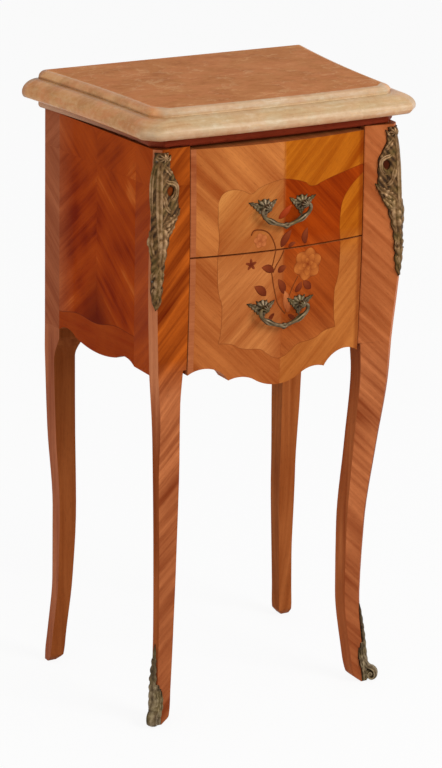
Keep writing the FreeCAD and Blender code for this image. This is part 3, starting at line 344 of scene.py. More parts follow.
def leg_finish(name, striped_above, side_tones, inner_tones):
    """Slanting stripes on the outer faces above the height given, a pale strip on the cant, straight grain on
    the inner faces. Shade is painted into the wood under the case, near the floor, on the left legs' inner
    faces and in the holes of the mounts, and a painted shadow line runs beside the drawers on the right."""
    finish = Finish(name)
    x, y, z = finish.place()
    face_x, face_y, _ = finish.facing()
    right = x.over(0.0, 1.0)
    outward = face_x * (right * 2 - 1)
    forward = face_y * -1
    side = outward.over(0.79, 0.06)
    front = forward.over(0.86, 0.06)
    cant = outward.least(forward).over(0.45, 0.06)
    striped = z.over(striped_above, 2.0)
    across, along, sheet = side_zigzag(y, z)
    slant_across = (z + abs(x)) * SLANT
    slant_along = (z - abs(x)) * SLANT
    across = across.towards(slant_across, front)
    along = along.towards(slant_along, front)
    veneered = side.most(front) * striped
    upright = abs(x) + y
    across = upright.towards(across, veneered)
    along = z.towards(along, veneered)
    flank = side * striped
    figure, pores = grain(finish, across, along, sheet + front * (5.9 + right * 4.7), 1.0 - flank * 0.4,
                          1.2 - flank * 0.4, 0.4 - flank * 0.1)
    post = z.over(KNEE_Z, 40.0)
    # Painted shade: the left legs' plain faces darker, and the tops of the legs darker under the case.
    plain = finish.lay(
        finish.blend(figure, *inner_tones),
        ((1 - right) * 0.4, tone(104, 48, 18)),
        (z.over(UNDER_CASE_Z, 60.0) * 0.3, tone(84, 36, 14)),
        (side, finish.blend(figure, tone(136, 66, 40), tone(190, 114, 76))))
    side_tone = finish.blend(figure, *side_tones)
    low_tone = finish.blend(figure, tone(120, 50, 20), tone(200, 120, 72))
    # Painted shade: the front legs darker towards the floor.
    low_tone = finish.blend((1 - z.over(LOW_LEG_Z, 120.0)) * 0.4, low_tone, tone(112, 46, 20))
    right_tone = finish.blend(figure, tone(131, 58, 22), tone(186, 107, 60))
    left_tone = finish.blend(figure, tone(92, 20, 1), tone(186, 90, 24))
    # Painted shadow line: the right front leg darker next to the drawer fronts.
    right_tone = finish.blend((1 - x.over(DRAWER_EDGE_X, 5.0)) * 0.45, right_tone, tone(110, 36, 10))
    front_tone = finish.blend(post, low_tone, finish.blend(right, left_tone, right_tone))
    # Painted shade: the wood seen in the mounts' holes is darker.
    painted_hole_shade = (1 - abs(abs(x) - MOUNT_HOLE_X).over(5.0, 4.0)) * (1 - abs(z - MOUNT_HOLE_Z).over(6.0, 4.0))
    low_strip = finish.blend(figure, tone(118, 50, 20), tone(158, 84, 44))
    high_strip = finish.blend(figure, tone(158, 84, 50), tone(198, 126, 86))
    colour = finish.lay(
        plain,
        (flank, side_tone),
        (front * striped, front_tone),
        (painted_hole_shade * (right * 0.35 + 0.6), tone(58, 22, 10)),
        (cant, finish.blend(z.over(STRIP_CHANGE_Z, 90.0), low_strip, high_strip)))
    finish.wax(colour, pores, tone(70, 28, 10))
    return finish


front_legs = leg_finish("front_leg_veneer", BELOW_FLOOR, FRONT_SIDE_TONES, FRONT_INNER_TONES)
front_legs.cover("front_leg_left", "front_leg_right")
back_legs = leg_finish("back_leg_veneer", STRIPES_END_Z, BACK_POST_TONES, BACK_INNER_TONES)
back_legs.cover("back_leg_left", "back_leg_right")


# Drawer boxes: sides, back and bottom of thin oak, dovetailed at the corners, the bottom in a groove.
# Left bare as the carcass is, in oak of a slightly warmer tone.

DRAWER_OAK = tone(150, 100, 56), tone(198, 150, 96)
for level in LEVELS:
    drawer = f"{level}_drawer"
    sides = bare_wood(f"{drawer}_sides_oak", ALONG_Y, *DRAWER_OAK)
    sides.cover(f"{drawer}_side_left", f"{drawer}_side_right")
    boards = bare_wood(f"{drawer}_cross_oak", ALONG_X, *DRAWER_OAK)
    boards.cover(f"{drawer}_back", f"{drawer}_bottom")


# Drawer fronts: bowed oak cores that meet at mid height and carry one picture in veneer across both.
# A cartouche with a curled outline, its sheets matched at a centre joint, in a field of slanting veneer.

CENTRE_JOINT_X = 2.0
CROSSBAND_X = 105.5
RIGHT_EDGE_X = 106.5
FLARE_Z = 595.0
FLARE = 0.02
DARK_BAND = 391.0
DARK_BAND_X = 66.0
JOINT_SHADE_X = -8.0
BOTTOM_Z = 458.0
SHADE_ABOVE_DIVISION_Z = 568.0
DIVISION_SHADE_Z = 556.0
CARTOUCHE_TOP = [(0, 641), (15, 638.3), (30, 633.5), (40, 627.8), (50, 632), (62, 634.3), (72, 632.2),
                 (78, 625.5), (81, 612), (100, 560)]
FLARED_TOP = [(0, 641), (15, 638.3), (30, 633.5), (40, 628.5), (50, 631), (62, 634.5), (75, 637.5),
              (90, 640.5), (108, 644)]
CARTOUCHE_BOTTOM = [(0, 431.5), (6, 433), (15, 438.5), (27, 445.8), (40, 447.2), (50, 449.5), (62, 455.5),
                    (77, 457.5), (100, 459)]
CARTOUCHE_HALF = [(400, 78), (458, 76.5), (470, 74.5), (495, 73.5), (512, 77), (530, 79.5), (556, 80),
                  (578, 78.5), (601, 80), (614, 80), (660, 84)]

# Dark and light tone of each sheet on the lower drawer, and the same two on the upper one
LEFT_OUTSIDE = (tone(137, 61, 21), tone(186, 108, 54)), (tone(147, 70, 27), tone(197, 121, 61))
LEFT_INSIDE = (tone(150, 74, 31), tone(199, 125, 67)), (tone(161, 85, 35), tone(210, 140, 73))
RIGHT_OUTSIDE = (tone(144, 70, 24), tone(186, 112, 52)), (tone(138, 58, 3), tone(188, 106, 22))
RIGHT_INSIDE = (tone(112, 40, 8), tone(170, 80, 28)), (tone(106, 25, 1), tone(164, 64, 9))


def smooth_rule(finish, value, points):
    """A smooth line through points, each a number and what it becomes, both in millimetres."""
    places = np.array(points, float)
    low = places.min(axis=0)
    reach = places.max(axis=0) - low
    node = finish.nodes.new("ShaderNodeFloatCurve")
    node.mapping.extend = "HORIZONTAL"
    line = node.mapping.curves[0].points
    for number, (at, gives) in enumerate(((places - low) / reach).tolist()):
        point = line[number] if number < 2 else line.new(at, gives)
        point.location = (at, gives)
    node.mapping.update()
    finish.feed(node.inputs["Value"], (value - float(low[0])) * float(1 / reach[0]))
    return Wire(finish, node.outputs[0]) * float(reach[1]) + float(low[1])


def cartouche_inset(finish, x, z):
    """How far inside the cartouche's outline a point lies, in millimetres, less than 0 outside it: the least
    of its distances from the flanks, the top and the bottom. The right half flares up and out at its top."""
    half = abs(x)
    flared = x.over(0.0, 1.0)
    above = (z - FLARE_Z).most(0.0)
    flank = smooth_rule(finish, z, CARTOUCHE_HALF) + flared * above * above * FLARE - half
    top = smooth_rule(finish, half, CARTOUCHE_TOP).towards(smooth_rule(finish, half, FLARED_TOP), flared)
    bottom = smooth_rule(finish, half, CARTOUCHE_BOTTOM)
    return flank.least(top - z).least(z - bottom)


def sheet_colour(finish, figure, upper, low, high):
    """Colour of one sheet from its figure, with the tones of the lower drawer or of the upper one."""
    dark, light = (finish.blend(upper, *pair) for pair in zip(low, high))
    return finish.blend(figure, dark, light)


def picture_veneer(name):
    """Veneer of both fronts: each sheet's grain leans at half a right angle, one way in the cartouche and the
    other way outside it, and its tone changes from sheet to sheet as the light takes the grain. Shade is
    painted on the sheets by the centre joint and at the division, with a painted shadow line at the right
    edge; a band at the left has level grain."""
    finish = Finish(name)
    x, _, z = finish.place()
    face_y = finish.facing()[1]
    half = abs(x)
    inset = cartouche_inset(finish, x, z)
    inside = inset.over(0.0, 0.3)
    right = x.over(CENTRE_JOINT_X, 0.3)
    edge = (x * -1).over(CROSSBAND_X, 0.3)
    falling = (z - half) * SLANT
    rising = (z + half) * SLANT
    across = falling.towards(rising, inside).towards(z, edge)
    along = rising.towards(falling, inside).towards(half, edge)
    sheet = inside * 5.3 + right * 11.9 + edge * 23.0
    figure, pores = grain(finish, across, along, sheet)
    dark_band = (1 - abs(falling - DARK_BAND).over(7.0, 8.0)) * half.over(DARK_BAND_X, 12.0) * (1 - inside)
    figure = finish.math("SUBTRACT", figure, dark_band * 0.45, clamp=True)

    upper = z.over(DIVISION_SHADE_Z, 36.0)
    left_out, left_in, right_out, right_in = (
        sheet_colour(finish, figure, upper, low, high)
        for low, high in (LEFT_OUTSIDE, LEFT_INSIDE, RIGHT_OUTSIDE, RIGHT_INSIDE))
    # Painted shade on the left inner sheets: darker towards the centre joint and in a band above the
    # division.
    painted_shade_near_joint = x.over(JOINT_SHADE_X, 22.0) * 0.6
    painted_shade_above_division = (1 - abs(z - SHADE_ABOVE_DIVISION_Z).over(20.0, 28.0)) * 0.55
    left_in = finish.blend(painted_shade_near_joint.most(painted_shade_above_division), left_in, tone(138, 56, 16))
    bottom = 1 - z.over(BOTTOM_Z, 60.0)
    right_in = finish.blend(bottom, right_in, finish.blend(figure, tone(136, 64, 26), tone(188, 108, 52)))
    string = 1 - abs(inset).over(0.35, 0.3)
    joint = 1 - abs(x - CENTRE_JOINT_X).over(0.2, 0.2)
    colour = finish.lay(
        finish.blend(inside, left_out, left_in),
        (x.over(CENTRE_JOINT_X, 5.0), finish.blend(inside, right_out, right_in)),
        (edge, finish.blend(figure, tone(144, 72, 38), tone(180, 106, 64))),
        # Painted shadow line down the right edge, where the front meets the post.
        (x.over(RIGHT_EDGE_X, 4.0) * 0.55, tone(110, 36, 6)),
        (string.most(joint * 0.6) * 0.5, tone(86, 34, 12)))
    rim_wood = finish.blend(figure, tone(150, 76, 36), tone(190, 112, 62))
    core = finish.blend(face_y.over(0.6, 0.1), rim_wood, finish.blend(figure, *DRAWER_OAK))
    finish.wax(finish.blend((face_y * -1).over(0.6, 0.1), core, colour), pores, tone(84, 34, 12))
    return finish


picture_veneer("picture_veneer").cover("upper_drawer_front", "lower_drawer_front")


# Flower spray on the fronts: stems, leaves, a rose, a bud and a star flower, cut from stained veneer.
# Each is let into the ground veneer, shaded darker at its root, and stands a hair proud of the polish.

BOW_RADIUS = 575.68
BOW_AXIS_Y = 457.03
FRONT_SWELL = 3.0
SWELL_Z = 541.75
SWELL_HALF = 145.25
DIVISION = 559.0, 561.0
INLAY_RISE = 0.18
INLAY_SINK = 0.5
SEAM_GAP = 2e-6


def cubic(at, marks, values, slopes):
    """A line of cubic stretches through values at marks, with the slopes given there, read at each place."""
    number = np.clip(np.searchsorted(marks, at, side="right") - 1, 0, len(marks) - 2)
    shape = (-1,) + (1,) * (values.ndim - 1)
    length = (marks[number + 1] - marks[number]).reshape(shape)
    share = (at - marks[number]).reshape(shape) / length
    start = (1 + 2 * share) * (1 - share) ** 2 * values[number]
    end = (3 - 2 * share) * share ** 2 * values[number + 1]
    lean = share * (1 - share) ** 2 * slopes[number] - share ** 2 * (1 - share) * slopes[number + 1]
    return start + end + lean * length


def smooth_line(points, count):
    """Evenly spread places on a smooth line through points; slopes follow the neighbouring points."""
    points = np.array(points, float)
    marks = np.concatenate([[0], np.cumsum(np.linalg.norm(np.diff(points, axis=0), axis=1))])
    return cubic(np.linspace(0, marks[-1], count), marks, points, np.gradient(points, marks, axis=0))


def unit(way):
    """Each of the directions at a length of one."""
    return way / np.linalg.norm(way, axis=-1, keepdims=True)


def band(line, half_width, rise, sink, columns=12, crease=0.0):
    """A strip along a line drawn on a surface, as (across, up, height): every ring is a flattened loop that
    reaches half_width to either side, rise above the surface and sink below, creased along its middle."""
    ahead = unit(np.gradient(line, axis=0))
    aside = np.stack([-ahead[:, 1], ahead[:, 0]], axis=1)
    turn = np.linspace(0, 2 * np.pi, columns, endpoint=False)
    crown = np.sqrt(np.clip(np.sin(turn), 0, 1)) * (1 - crease * np.exp(-(np.cos(turn) / 0.35) ** 2))
    height = np.outer(rise, crown) + sink * np.minimum(np.sin(turn), 0)
    flat = line[:, None] + aside[:, None] * np.outer(half_width, np.cos(turn))[..., None]
    return np.concatenate([flat, height[..., None]], axis=-1)


def front_y(x, z):
    """Depth of the fronts: an arc in plan about an upright axis, its radius a parabola in height."""
    swell = FRONT_SWELL * (1 - ((z - SWELL_Z) / SWELL_HALF) ** 2)
    return BOW_AXIS_Y - np.sqrt((BOW_RADIUS + swell) ** 2 - x ** 2)


def on_front(strip):
    """From (x, z, height off the veneer) to the object's frame."""
    x, z, height = np.moveaxis(strip, -1, 0)
    return np.stack([x, front_y(x, z) - height, z], axis=-1)


def skin(rings, first):
    """Points and quads of a closed form: rings of points joined to the next, with a pole at either end."""
    count, columns = rings.shape[:2]
    poles = np.repeat(rings[[0, -1]].mean(axis=1, keepdims=True), columns, axis=1)
    points = np.concatenate([poles[:1], rings, poles[1:]])
    row, column = np.meshgrid(np.arange(count + 1), np.arange(columns), indexing="ij")
    after = (column + 1) % columns
    quads = np.stack([row * columns + column, row * columns + after,
                      (row + 1) * columns + after, (row + 1) * columns + column], axis=-1)
    return points.reshape(-1, rings.shape[-1]), first + quads.reshape(-1, 4)


def piece(name, forms, body, finish):
    """One object from closed forms, each rings of (x, y, z, tint) in millimetres: its poles and seams merged,
    its faces turned outwards, smooth, riding on a body."""
    points, quads, first = [], [], 0
    for rings in forms:
        form_points, form_quads = skin(rings, first)
        points.append(form_points)
        quads.append(form_quads)
        first += len(form_points)
    points = np.concatenate(points)
    mesh = bpy.data.meshes.new(name)
    mesh.from_pydata((points[:, :3] * MILLIMETRE).tolist(), [], np.concatenate(quads).tolist())
    mesh.attributes.new("tint", "FLOAT", "POINT").data.foreach_set("value", points[:, 3].astype(np.float32))
    work = bmesh.new()
    work.from_mesh(mesh)
    bmesh.ops.remove_doubles(work, verts=work.verts, dist=SEAM_GAP)
    bmesh.ops.dissolve_degenerate(work, edges=work.edges, dist=SEAM_GAP / 2)
    bmesh.ops.recalc_face_normals(work, faces=work.faces)
    work.to_mesh(mesh)
    work.free()
    mesh.polygons.foreach_set("use_smooth", np.ones(len(mesh.polygons), bool))
    mesh.materials.append(finish.material)
    obj = bpy.data.objects.new(name, mesh)
    bpy.context.collection.objects.link(obj)
    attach(obj, body)
    return obj


def tinted(points, tint):
    """Points with a shade from 0 to 1 beside each."""
    return np.concatenate([points, np.broadcast_to(tint, points.shape[:-1])[..., None]], axis=-1)


def inlay_leaf(points, width, count=18, full=0.8, lift=0.0):
    """A leaf of veneer along a line from root to tip, widest a little past its middle, darker at the root."""
    share = np.linspace(0, 1, count)
    half_width = np.maximum(width / 2 * np.sin(np.pi * share ** 0.85) ** full, 0.02)
    rise = np.full(count, INLAY_RISE + lift)
    strip = band(smooth_line(points, count), half_width, rise, INLAY_SINK)
    rim = np.abs(np.cos(np.linspace(0, 2 * np.pi, strip.shape[1], endpoint=False))) ** 4
    return tinted(on_front(strip), share[:, None] * (1 - 0.85 * rim))


def inlay_stem(points, width, count=40):
    """A stem of veneer of even width along a line."""
    half_width = np.full(count, width / 2)
    rise = np.full(count, INLAY_RISE)
    return tinted(on_front(band(smooth_line(points, count), half_width, rise, INLAY_SINK, columns=8)), 0.5)


def flower(middle, radius, petals, turned, width, lift):
    """Petals of veneer round a middle, each from the middle outwards."""
    forms = []
    for number in range(petals):
        angle = turned + 2 * np.pi * number / petals
        way = np.array([np.cos(angle), np.sin(angle)])
        forms.append(inlay_leaf([middle, middle + way * radius * 0.5, middle + way * radius],
                                width, full=0.5, lift=lift))
    return forms


def blown_flower(middle, rings):
    """Rings of petals one on another, each with its radius, count of petals, turn, petal's width and lift."""
    return [petal for ring in rings for petal in flower(middle, *ring)]


def stained_veneer(name, root, tip):
    """Stained veneer, burnt darker at the root of each petal or leaf, with a fine grain."""
    finish = Finish(name)
    x, _, z = finish.place()
    streaks = finish.noise(x * 0.5 + z * 0.5, z * 1.1 - x * 0.9, 0.0, detail=3.0)
    shade = finish.math("ADD", finish.tint(), (streaks - 0.5) * 0.7, clamp=True)
    colour = finish.blend(shade, root, tip)
    finish.polish(colour, WAX_ROUGHNESS, relief=streaks * 0.04, Specular_IOR_Level=0.04)
    return finish


leaf_stain = stained_veneer("leaf_brown_veneer", tone(92, 32, 12), tone(132, 58, 26))
stem_stain = stained_veneer("stem_brown_veneer", tone(92, 42, 12), tone(118, 56, 20))
rose_stain = stained_veneer("rose_tan_veneer", tone(118, 44, 10), tone(182, 102, 42))
blossom_stain = stained_veneer("blossom_red_veneer", tone(134, 44, 12), tone(172, 66, 28))
bud_stain = stained_veneer("bud_pink_veneer", tone(144, 70, 32), tone(188, 108, 58))

under_division, over_division = DIVISION
bud_stem = [(-39.8, 580.1), (-37.4, 584.6), (-28.5, 585.4), (-18.1, 580.8), (-12.7, 573.1), (-9.2, 564.4),
            (-8.6, over_division + 0.4)]
main_stem = [(-8.5, under_division - 0.4), (-10.8, 548), (-13.1, 537.6), (-11.4, 525.5), (-7.6, 508.3),
             (-4.6, 498.3), (0.4, 490.4), (6, 483.6)]
rose_stem = [(22, 526), (15, 514), (9.5, 500), (6, 484)]
side_stem = [(2.4, under_division - 0.4), (-1.6, 550.5), (-6.7, 542.8), (-11.4, 534)]
lower_leaves = [
    ([(-10.4, 534.9), (-17.5, 539.6), (-26, 541.6)], 9.5),
    ([(-4.8, 533.8), (0.4, 537.4), (6, 539.6)], 8),
    ([(3.8, 507.4), (1.4, 516.5), (-4.2, 525.6)], 9),
    ([(-19.6, 508), (-26.4, 515.4), (-34.6, 520.4)], 10),
    ([(18.8, 507.4), (23.6, 512.4), (26.8, 519)], 7.5),
    ([(39.8, 508.4), (35, 513.6), (29, 519.6)], 9),
    ([(-8, 486), (-12.6, 481), (-14.4, 474)], 5),
    ([(10, 482), (16.4, 477.6), (21.4, 472)], 5),
]
rose_middle = np.array([34.5, 538.4])
star_middle = np.array([-39.2, 546.4])
bud_middle = np.array([-28, 573])

upper_leaves = [
    ([(-1.5, over_division + 1.4), (3.2, 571), (11.5, 581.5)], 9.5),
    ([(8, over_division + 0.8), (12.4, 564.4), (17.5, 565.8)], 5),
    ([(30.5, over_division + 1.6), (29.6, 571), (33, 581.5)], 8.5),
]
rose_rings = [(19.2, 6, 0.3, 19, 0.0), (13.2, 5, 0.9, 13, 0.08), (7, 4, 0.2, 7.5, 0.14)]
bud_rings = [(8.6, 5, 0.5, 9, 0.0), (5, 3, 0.2, 6, 0.08)]
upper_blossom = [(-5.5, 595.5), (2, 601.5), (11.5, 610)]
lower_blossom = [(9.5, 484.5), (9, 493), (7, 503), (4.5, 511)]
lower_stems = [(main_stem, 1.5), (rose_stem, 1.2), (side_stem, 1.6)]

# Each piece of the spray: its name, its drawer, its stain and its forms
spray = [
    ("marquetry_stems_lower", "lower", stem_stain, [inlay_stem(*stem) for stem in lower_stems]),
    ("marquetry_stem_upper", "upper", stem_stain, [inlay_stem(bud_stem, 1.6)]),
    ("marquetry_leaves_lower", "lower", leaf_stain, [inlay_leaf(*leaf) for leaf in lower_leaves]),
    ("marquetry_leaves_upper", "upper", leaf_stain, [inlay_leaf(*leaf) for leaf in upper_leaves]),
    ("marquetry_rose", "lower", rose_stain, blown_flower(rose_middle, rose_rings)),
    ("marquetry_star", "lower", leaf_stain, flower(star_middle, 7, 5, 0.35, 3.4, 0.0)),
    ("marquetry_blossom_upper", "upper", blossom_stain, [inlay_leaf(upper_blossom, 8)]),
    ("marquetry_blossom_lower", "lower", bud_stain, [inlay_leaf(lower_blossom, 11)]),
    ("marquetry_bud", "upper", bud_stain, blown_flower(bud_middle, bud_rings)),
]
for name, level, stain, forms in spray:
    piece(name, forms, f"drawer_{level}", stain)


# Pulls: on each drawer two cast posts with leaf plates, screwed through the front, carry a swinging bail.
# Gilt bronze gone olive brown, bright only where hands have worn the high places.

PULL_X = 24.0
PULL_Z = {"upper": 612.0, "lower": 495.0}
PIVOT_Y = -129.85
KNOB_RADIUS = 4.4
POST_SEAT_Y = -119.65
SHANK_RADIUS = 2.0
HOOK_RADIUS = 1.45
ROD_SWELL = 0.75
LEAF_SWELL = 1.1
KNOP_SWELL = 1.3
BAIL_DEPTH = 3.4
BAIL_FLATNESS = 0.9
BUD_LOBES = 8
CAST_SINK = 0.6


def bronze(name, hollow, ground, worn):
    """Old gilt bronze: dark in its hollows, worn bright on its crests, green in places and faintly pitted."""
    finish = Finish(name)
    x, y, z = finish.place()
    cloud = finish.noise(x * 0.16, y * 0.16, z * 0.16, detail=4.0, rough=0.6)
    green = finish.noise(x * 0.07, y * 0.07, z * 0.07 + 4.0, detail=2.0)
    pits = finish.noise(x * 1.6, y * 1.6, z * 1.6, detail=2.0)
    crest = finish.math("ADD", finish.tint(), (cloud - 0.5) * 1.1, clamp=True)
    colour = finish.ramp(crest, (0.2, hollow), (0.58, ground), (0.98, worn))
    colour = finish.blend(green.over(0.56, 0.15) * 0.25, colour, tone(96, 84, 34))
    finish.polish(colour, 0.6 - crest * 0.16, relief=pits * 0.15, Metallic=0.6, Specular_IOR_Level=0.2)
    return finish


pull_bronze = bronze("pull_bronze", tone(40, 30, 17), tone(88, 71, 48), tone(132, 114, 90))


def turned(profile, middle, lobes, count=48):
    """A turned form about a line along Y: a ring at each (y, radius, lobe depth), with a waving radius."""
    y, radius, depth = np.array(profile, float).T
    turn = np.linspace(0, 2 * np.pi, count, endpoint=False)
    reach = radius[:, None] * (1 + depth[:, None] * np.cos(lobes * turn))
    rings = np.stack([middle[0] + reach * np.cos(turn), np.broadcast_to(y[:, None], reach.shape),
                      middle[1] + reach * np.sin(turn)], axis=-1)
    return tinted(rings, np.clip(0.55 + 0.4 * np.cos(lobes * turn) * (depth > 0)[:, None], 0, 1))


def bronze_leaf(points, width, rise, notches, count=40, crease=0.45, root=0.35):
    """A cast leaf along a line from root to tip, as (across, up, height), and its tint: a flattened strip
    with a scalloped edge and a sunk rib."""
    share = np.linspace(0, 1, count)
    swell = np.sin(np.pi * (root + (1 - root) * share)) ** 0.75
    lobes = 1 - 0.3 * np.abs(np.sin(np.pi * notches * share)) ** 3
    half_width = np.maximum(width / 2 * swell * lobes, 0.05)
    lift = rise * np.sqrt(np.sin(np.pi * (0.12 + 0.88 * share))) * (0.4 + 0.6 * lobes)
    strip = band(smooth_line(points, count), half_width, lift, CAST_SINK, columns=16, crease=crease)
    return strip, np.clip(strip[..., 2] / rise, 0, 1)


def pull_post(level, side, sign):
    """A post with a lobed bud, a waist, a rosette on the veneer, a shank through the front and five leaves,
    each with its line, width, rise and count of notches."""
    middle = (sign * PULL_X, PULL_Z[level])
    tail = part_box(f"{level}_pull_post_{side}")[1][1] / MILLIMETRE
    bud = [(PIVOT_Y - KNOB_RADIUS * np.cos(angle), KNOB_RADIUS * np.sin(angle), 0.1 * np.sin(angle))
           for angle in np.linspace(0.12, 2.5, 14)]
    waist = [(PIVOT_Y + 4.4, 2.3, 0), (PIVOT_Y + 5.4, 2.5, 0), (PIVOT_Y + 6.4, 4.2, 0.05),
             (PIVOT_Y + 7.0, 6.4, 0.08), (PIVOT_Y + 7.7, 8.0, 0.08), (PIVOT_Y + 8.6, 8.4, 0.08),
             (POST_SEAT_Y, 8.3, 0.06)]
    shank = [(POST_SEAT_Y + 0.1, SHANK_RADIUS, 0), (tail - 0.4, SHANK_RADIUS, 0), (tail, 1.6, 0)]
    forms = [turned(bud + waist + shank, middle, BUD_LOBES)]
    x, z = PULL_X, PULL_Z[level]
    leaves = [
        ([(x, z - 8), (x + 6, z - 2), (x + 13, z + 3), (x + 20, z + 6)], 9, 2.6, 5),
        ([(x, z - 8), (x - 5, z - 2), (x - 11, z + 3), (x - 16, z + 7)], 9, 2.6, 5),
        ([(x + 1, z - 4), (x + 4, z + 3), (x + 8, z + 8.5)], 7, 2.4, 3),
        ([(x - 1, z - 4), (x - 3, z + 3), (x - 6, z + 8.5)], 7, 2.4, 3),
        ([(x, z - 3), (x - 1, z - 9), (x + 1, z - 15)], 7, 2.4, 3),
    ]
    for points, width, rise, notches in leaves:
        strip, tint = bronze_leaf(points, width, rise, notches)
        strip[..., 0] *= sign
        forms.append(tinted(on_front(strip), tint))
    obj = piece(f"{level}_leaf_post_{side}", forms, f"drawer_{level}", pull_bronze)
    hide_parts(f"{level}_pull_post_{side}")


def swinging_bail(level):
    """A bail as a rod along a wide sweep between two hooks, which swells to a fluted leaf on each arm and to
    a knop in the middle; its section is flattened from front to back."""
    arm = [(25.4, 0), (27.2, 0), (28.9, -0.1), (30.6, -2), (31, -5.6), (28.4, -10.2), (22, -14.8),
           (14, -18.4), (6.5, -21), (0, -22.3)]
    line = smooth_line(arm + [(-x, z) for x, z in arm[-2::-1]], 161)
    share = np.abs(np.linspace(-1, 1, len(line)))
    radius = (HOOK_RADIUS + ROD_SWELL * np.clip((0.93 - share) / 0.06, 0, 1)
              + LEAF_SWELL * np.exp(-((share - 0.46) / 0.13) ** 2)
              + KNOP_SWELL * np.exp(-(share / 0.06) ** 2))
    ahead = unit(np.gradient(line, axis=0))
    turn = np.linspace(0, 2 * np.pi, 20, endpoint=False)
    leafy = np.clip((radius - 2.3) / 1.0, 0, 1)[:, None]
    flutes = np.cos(5 * turn + 9 * share[:, None]) * leafy
    reach = radius[:, None] * (1 + 0.2 * flutes)
    out = reach * np.cos(turn)
    depth = np.sin(turn) * np.minimum(reach, BAIL_DEPTH)
    x = line[:, :1] - ahead[:, 1:] * out
    z = line[:, 1:] + ahead[:, :1] * out
    rings = np.stack([x, PIVOT_Y + depth * BAIL_FLATNESS, PULL_Z[level] + z], axis=-1)
    tint = np.clip(0.5 + 0.5 * flutes - 0.2 * np.sin(turn), 0, 1)
    obj = piece(f"{level}_foliate_bail", [tinted(rings, tint)], f"bail_{level}", pull_bronze)
    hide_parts(f"{level}_bail")


for level in LEVELS:
    for side, sign in SIDES.items():
        pull_post(level, side, sign)
    swinging_bail(level)


# Corner mounts: cast plates of fronds and flutes, pierced once inside a scroll, on the two front posts.
# Chased gilt bronze, dulled with age, bent round the canted corner from under the top down past the division
# of the drawers, and held by brads.

CASE_CORNER = np.array([157.0, -111.65])
POST_LEVELS = np.array([430.0, 542, 687])
POST_REACH = np.array([3.0, 8.5, 0])
POST_CANT = 7.5
POST_FRONT_END = np.array([[110, -107.65], [110, -110.65], [110, -107.65]])
POST_FLANK_END = np.array([159.91, -67.65])


def canted(corner, cant, front_end, flank_end):
    """Four corners of a front leg's section at each level: inner front, both ends of the cant, outer back."""
    cant_front = corner - np.array([cant, 0])
    cant_side = corner + np.array([0, cant])
    return np.stack([front_end, cant_front, cant_side, np.broadcast_to(flank_end, corner.shape)], axis=1)


def level_slopes(levels, values):
    """Slope at each level: none at a turning point, else the harmonic mean of the steps on either side."""
    steps = np.diff(values, axis=0) / np.diff(levels)[:, None, None]
    product = steps[:-1] * steps[1:]
    total = np.where(product > 0, steps[:-1] + steps[1:], 1)
    return np.concatenate([steps[:1], np.where(product > 0, 2 * product / total, 0), steps[-1:]])


post_corner = CASE_CORNER + POST_REACH[:, None] * np.array([1, -1])
POST = POST_LEVELS, canted(post_corner, POST_CANT, POST_FRONT_END, POST_FLANK_END)


def on_corner(strip, shaft, sign):
    """From (across, z, height) round a front leg's canted corner to the object's frame: across is measured
    from the middle of the cant, less than 0 on the front face and more than 0 on the side face."""
    levels, corners = shaft
    across, z, height = (part.ravel() for part in np.moveaxis(strip, -1, 0))
    section = cubic(z, levels, corners, level_slopes(levels, corners))
    front_end, cant_front, cant_side, flank_end = np.moveaxis(section, 1, 0)
    facet = cant_side - cant_front
    half = np.linalg.norm(facet, axis=-1) / 2
    front_way, side_way, facet_way = unit(front_end - cant_front), unit(flank_end - cant_side), unit(facet)
    place = (cant_front + cant_side) / 2 + facet_way * np.clip(across, -half, half)[:, None]
    place += front_way * np.maximum(-across - half, 0)[:, None]
    place += side_way * np.maximum(across - half, 0)[:, None]
    facet_out = np.stack([facet_way[:, 1], -facet_way[:, 0]], axis=-1)
    front_out = np.stack([-front_way[:, 1], front_way[:, 0]], axis=-1)
    side_out = np.stack([side_way[:, 1], -side_way[:, 0]], axis=-1)
    share = np.clip(across / (half + 3), -1, 1)[:, None]
    outward = unit(facet_out * (1 - np.abs(share)) + front_out * np.maximum(-share, 0)
                   + side_out * np.maximum(share, 0))
    place += outward * height[:, None]
    return np.stack([place[:, 0] * sign, place[:, 1], z], axis=-1).reshape(strip.shape)


mount_bronze = bronze("mount_bronze", tone(50, 32, 16), tone(102, 72, 40), tone(164, 130, 94))

# Edges of the mount's back plate on the side face and the front face, as (height, across), and the hole in it
MOUNT_SIDE = [(510, -2), (520, 0.5), (560, 1.5), (577, 3), (596, 3), (632, 3.5), (660, 3), (684, 2.5)]
MOUNT_FRONT = [(510, -5), (522, -9), (540, -11), (557, -12.5), (575, -16), (587, -18.5), (600, -24),
               (609, -28), (622, -29), (636, -28), (645, -27), (653, -24), (662, -17.5), (673, -14),
               (684, -12)]
HOLE = -18.0, MOUNT_HOLE_Z
HOLE_HALF = 4.6, 5.6
PLATE_RISE = 2.7
BOSS = -7.0, 679.0
BOSS_RADIUS = 5.2
BOSS_LOBES = 8

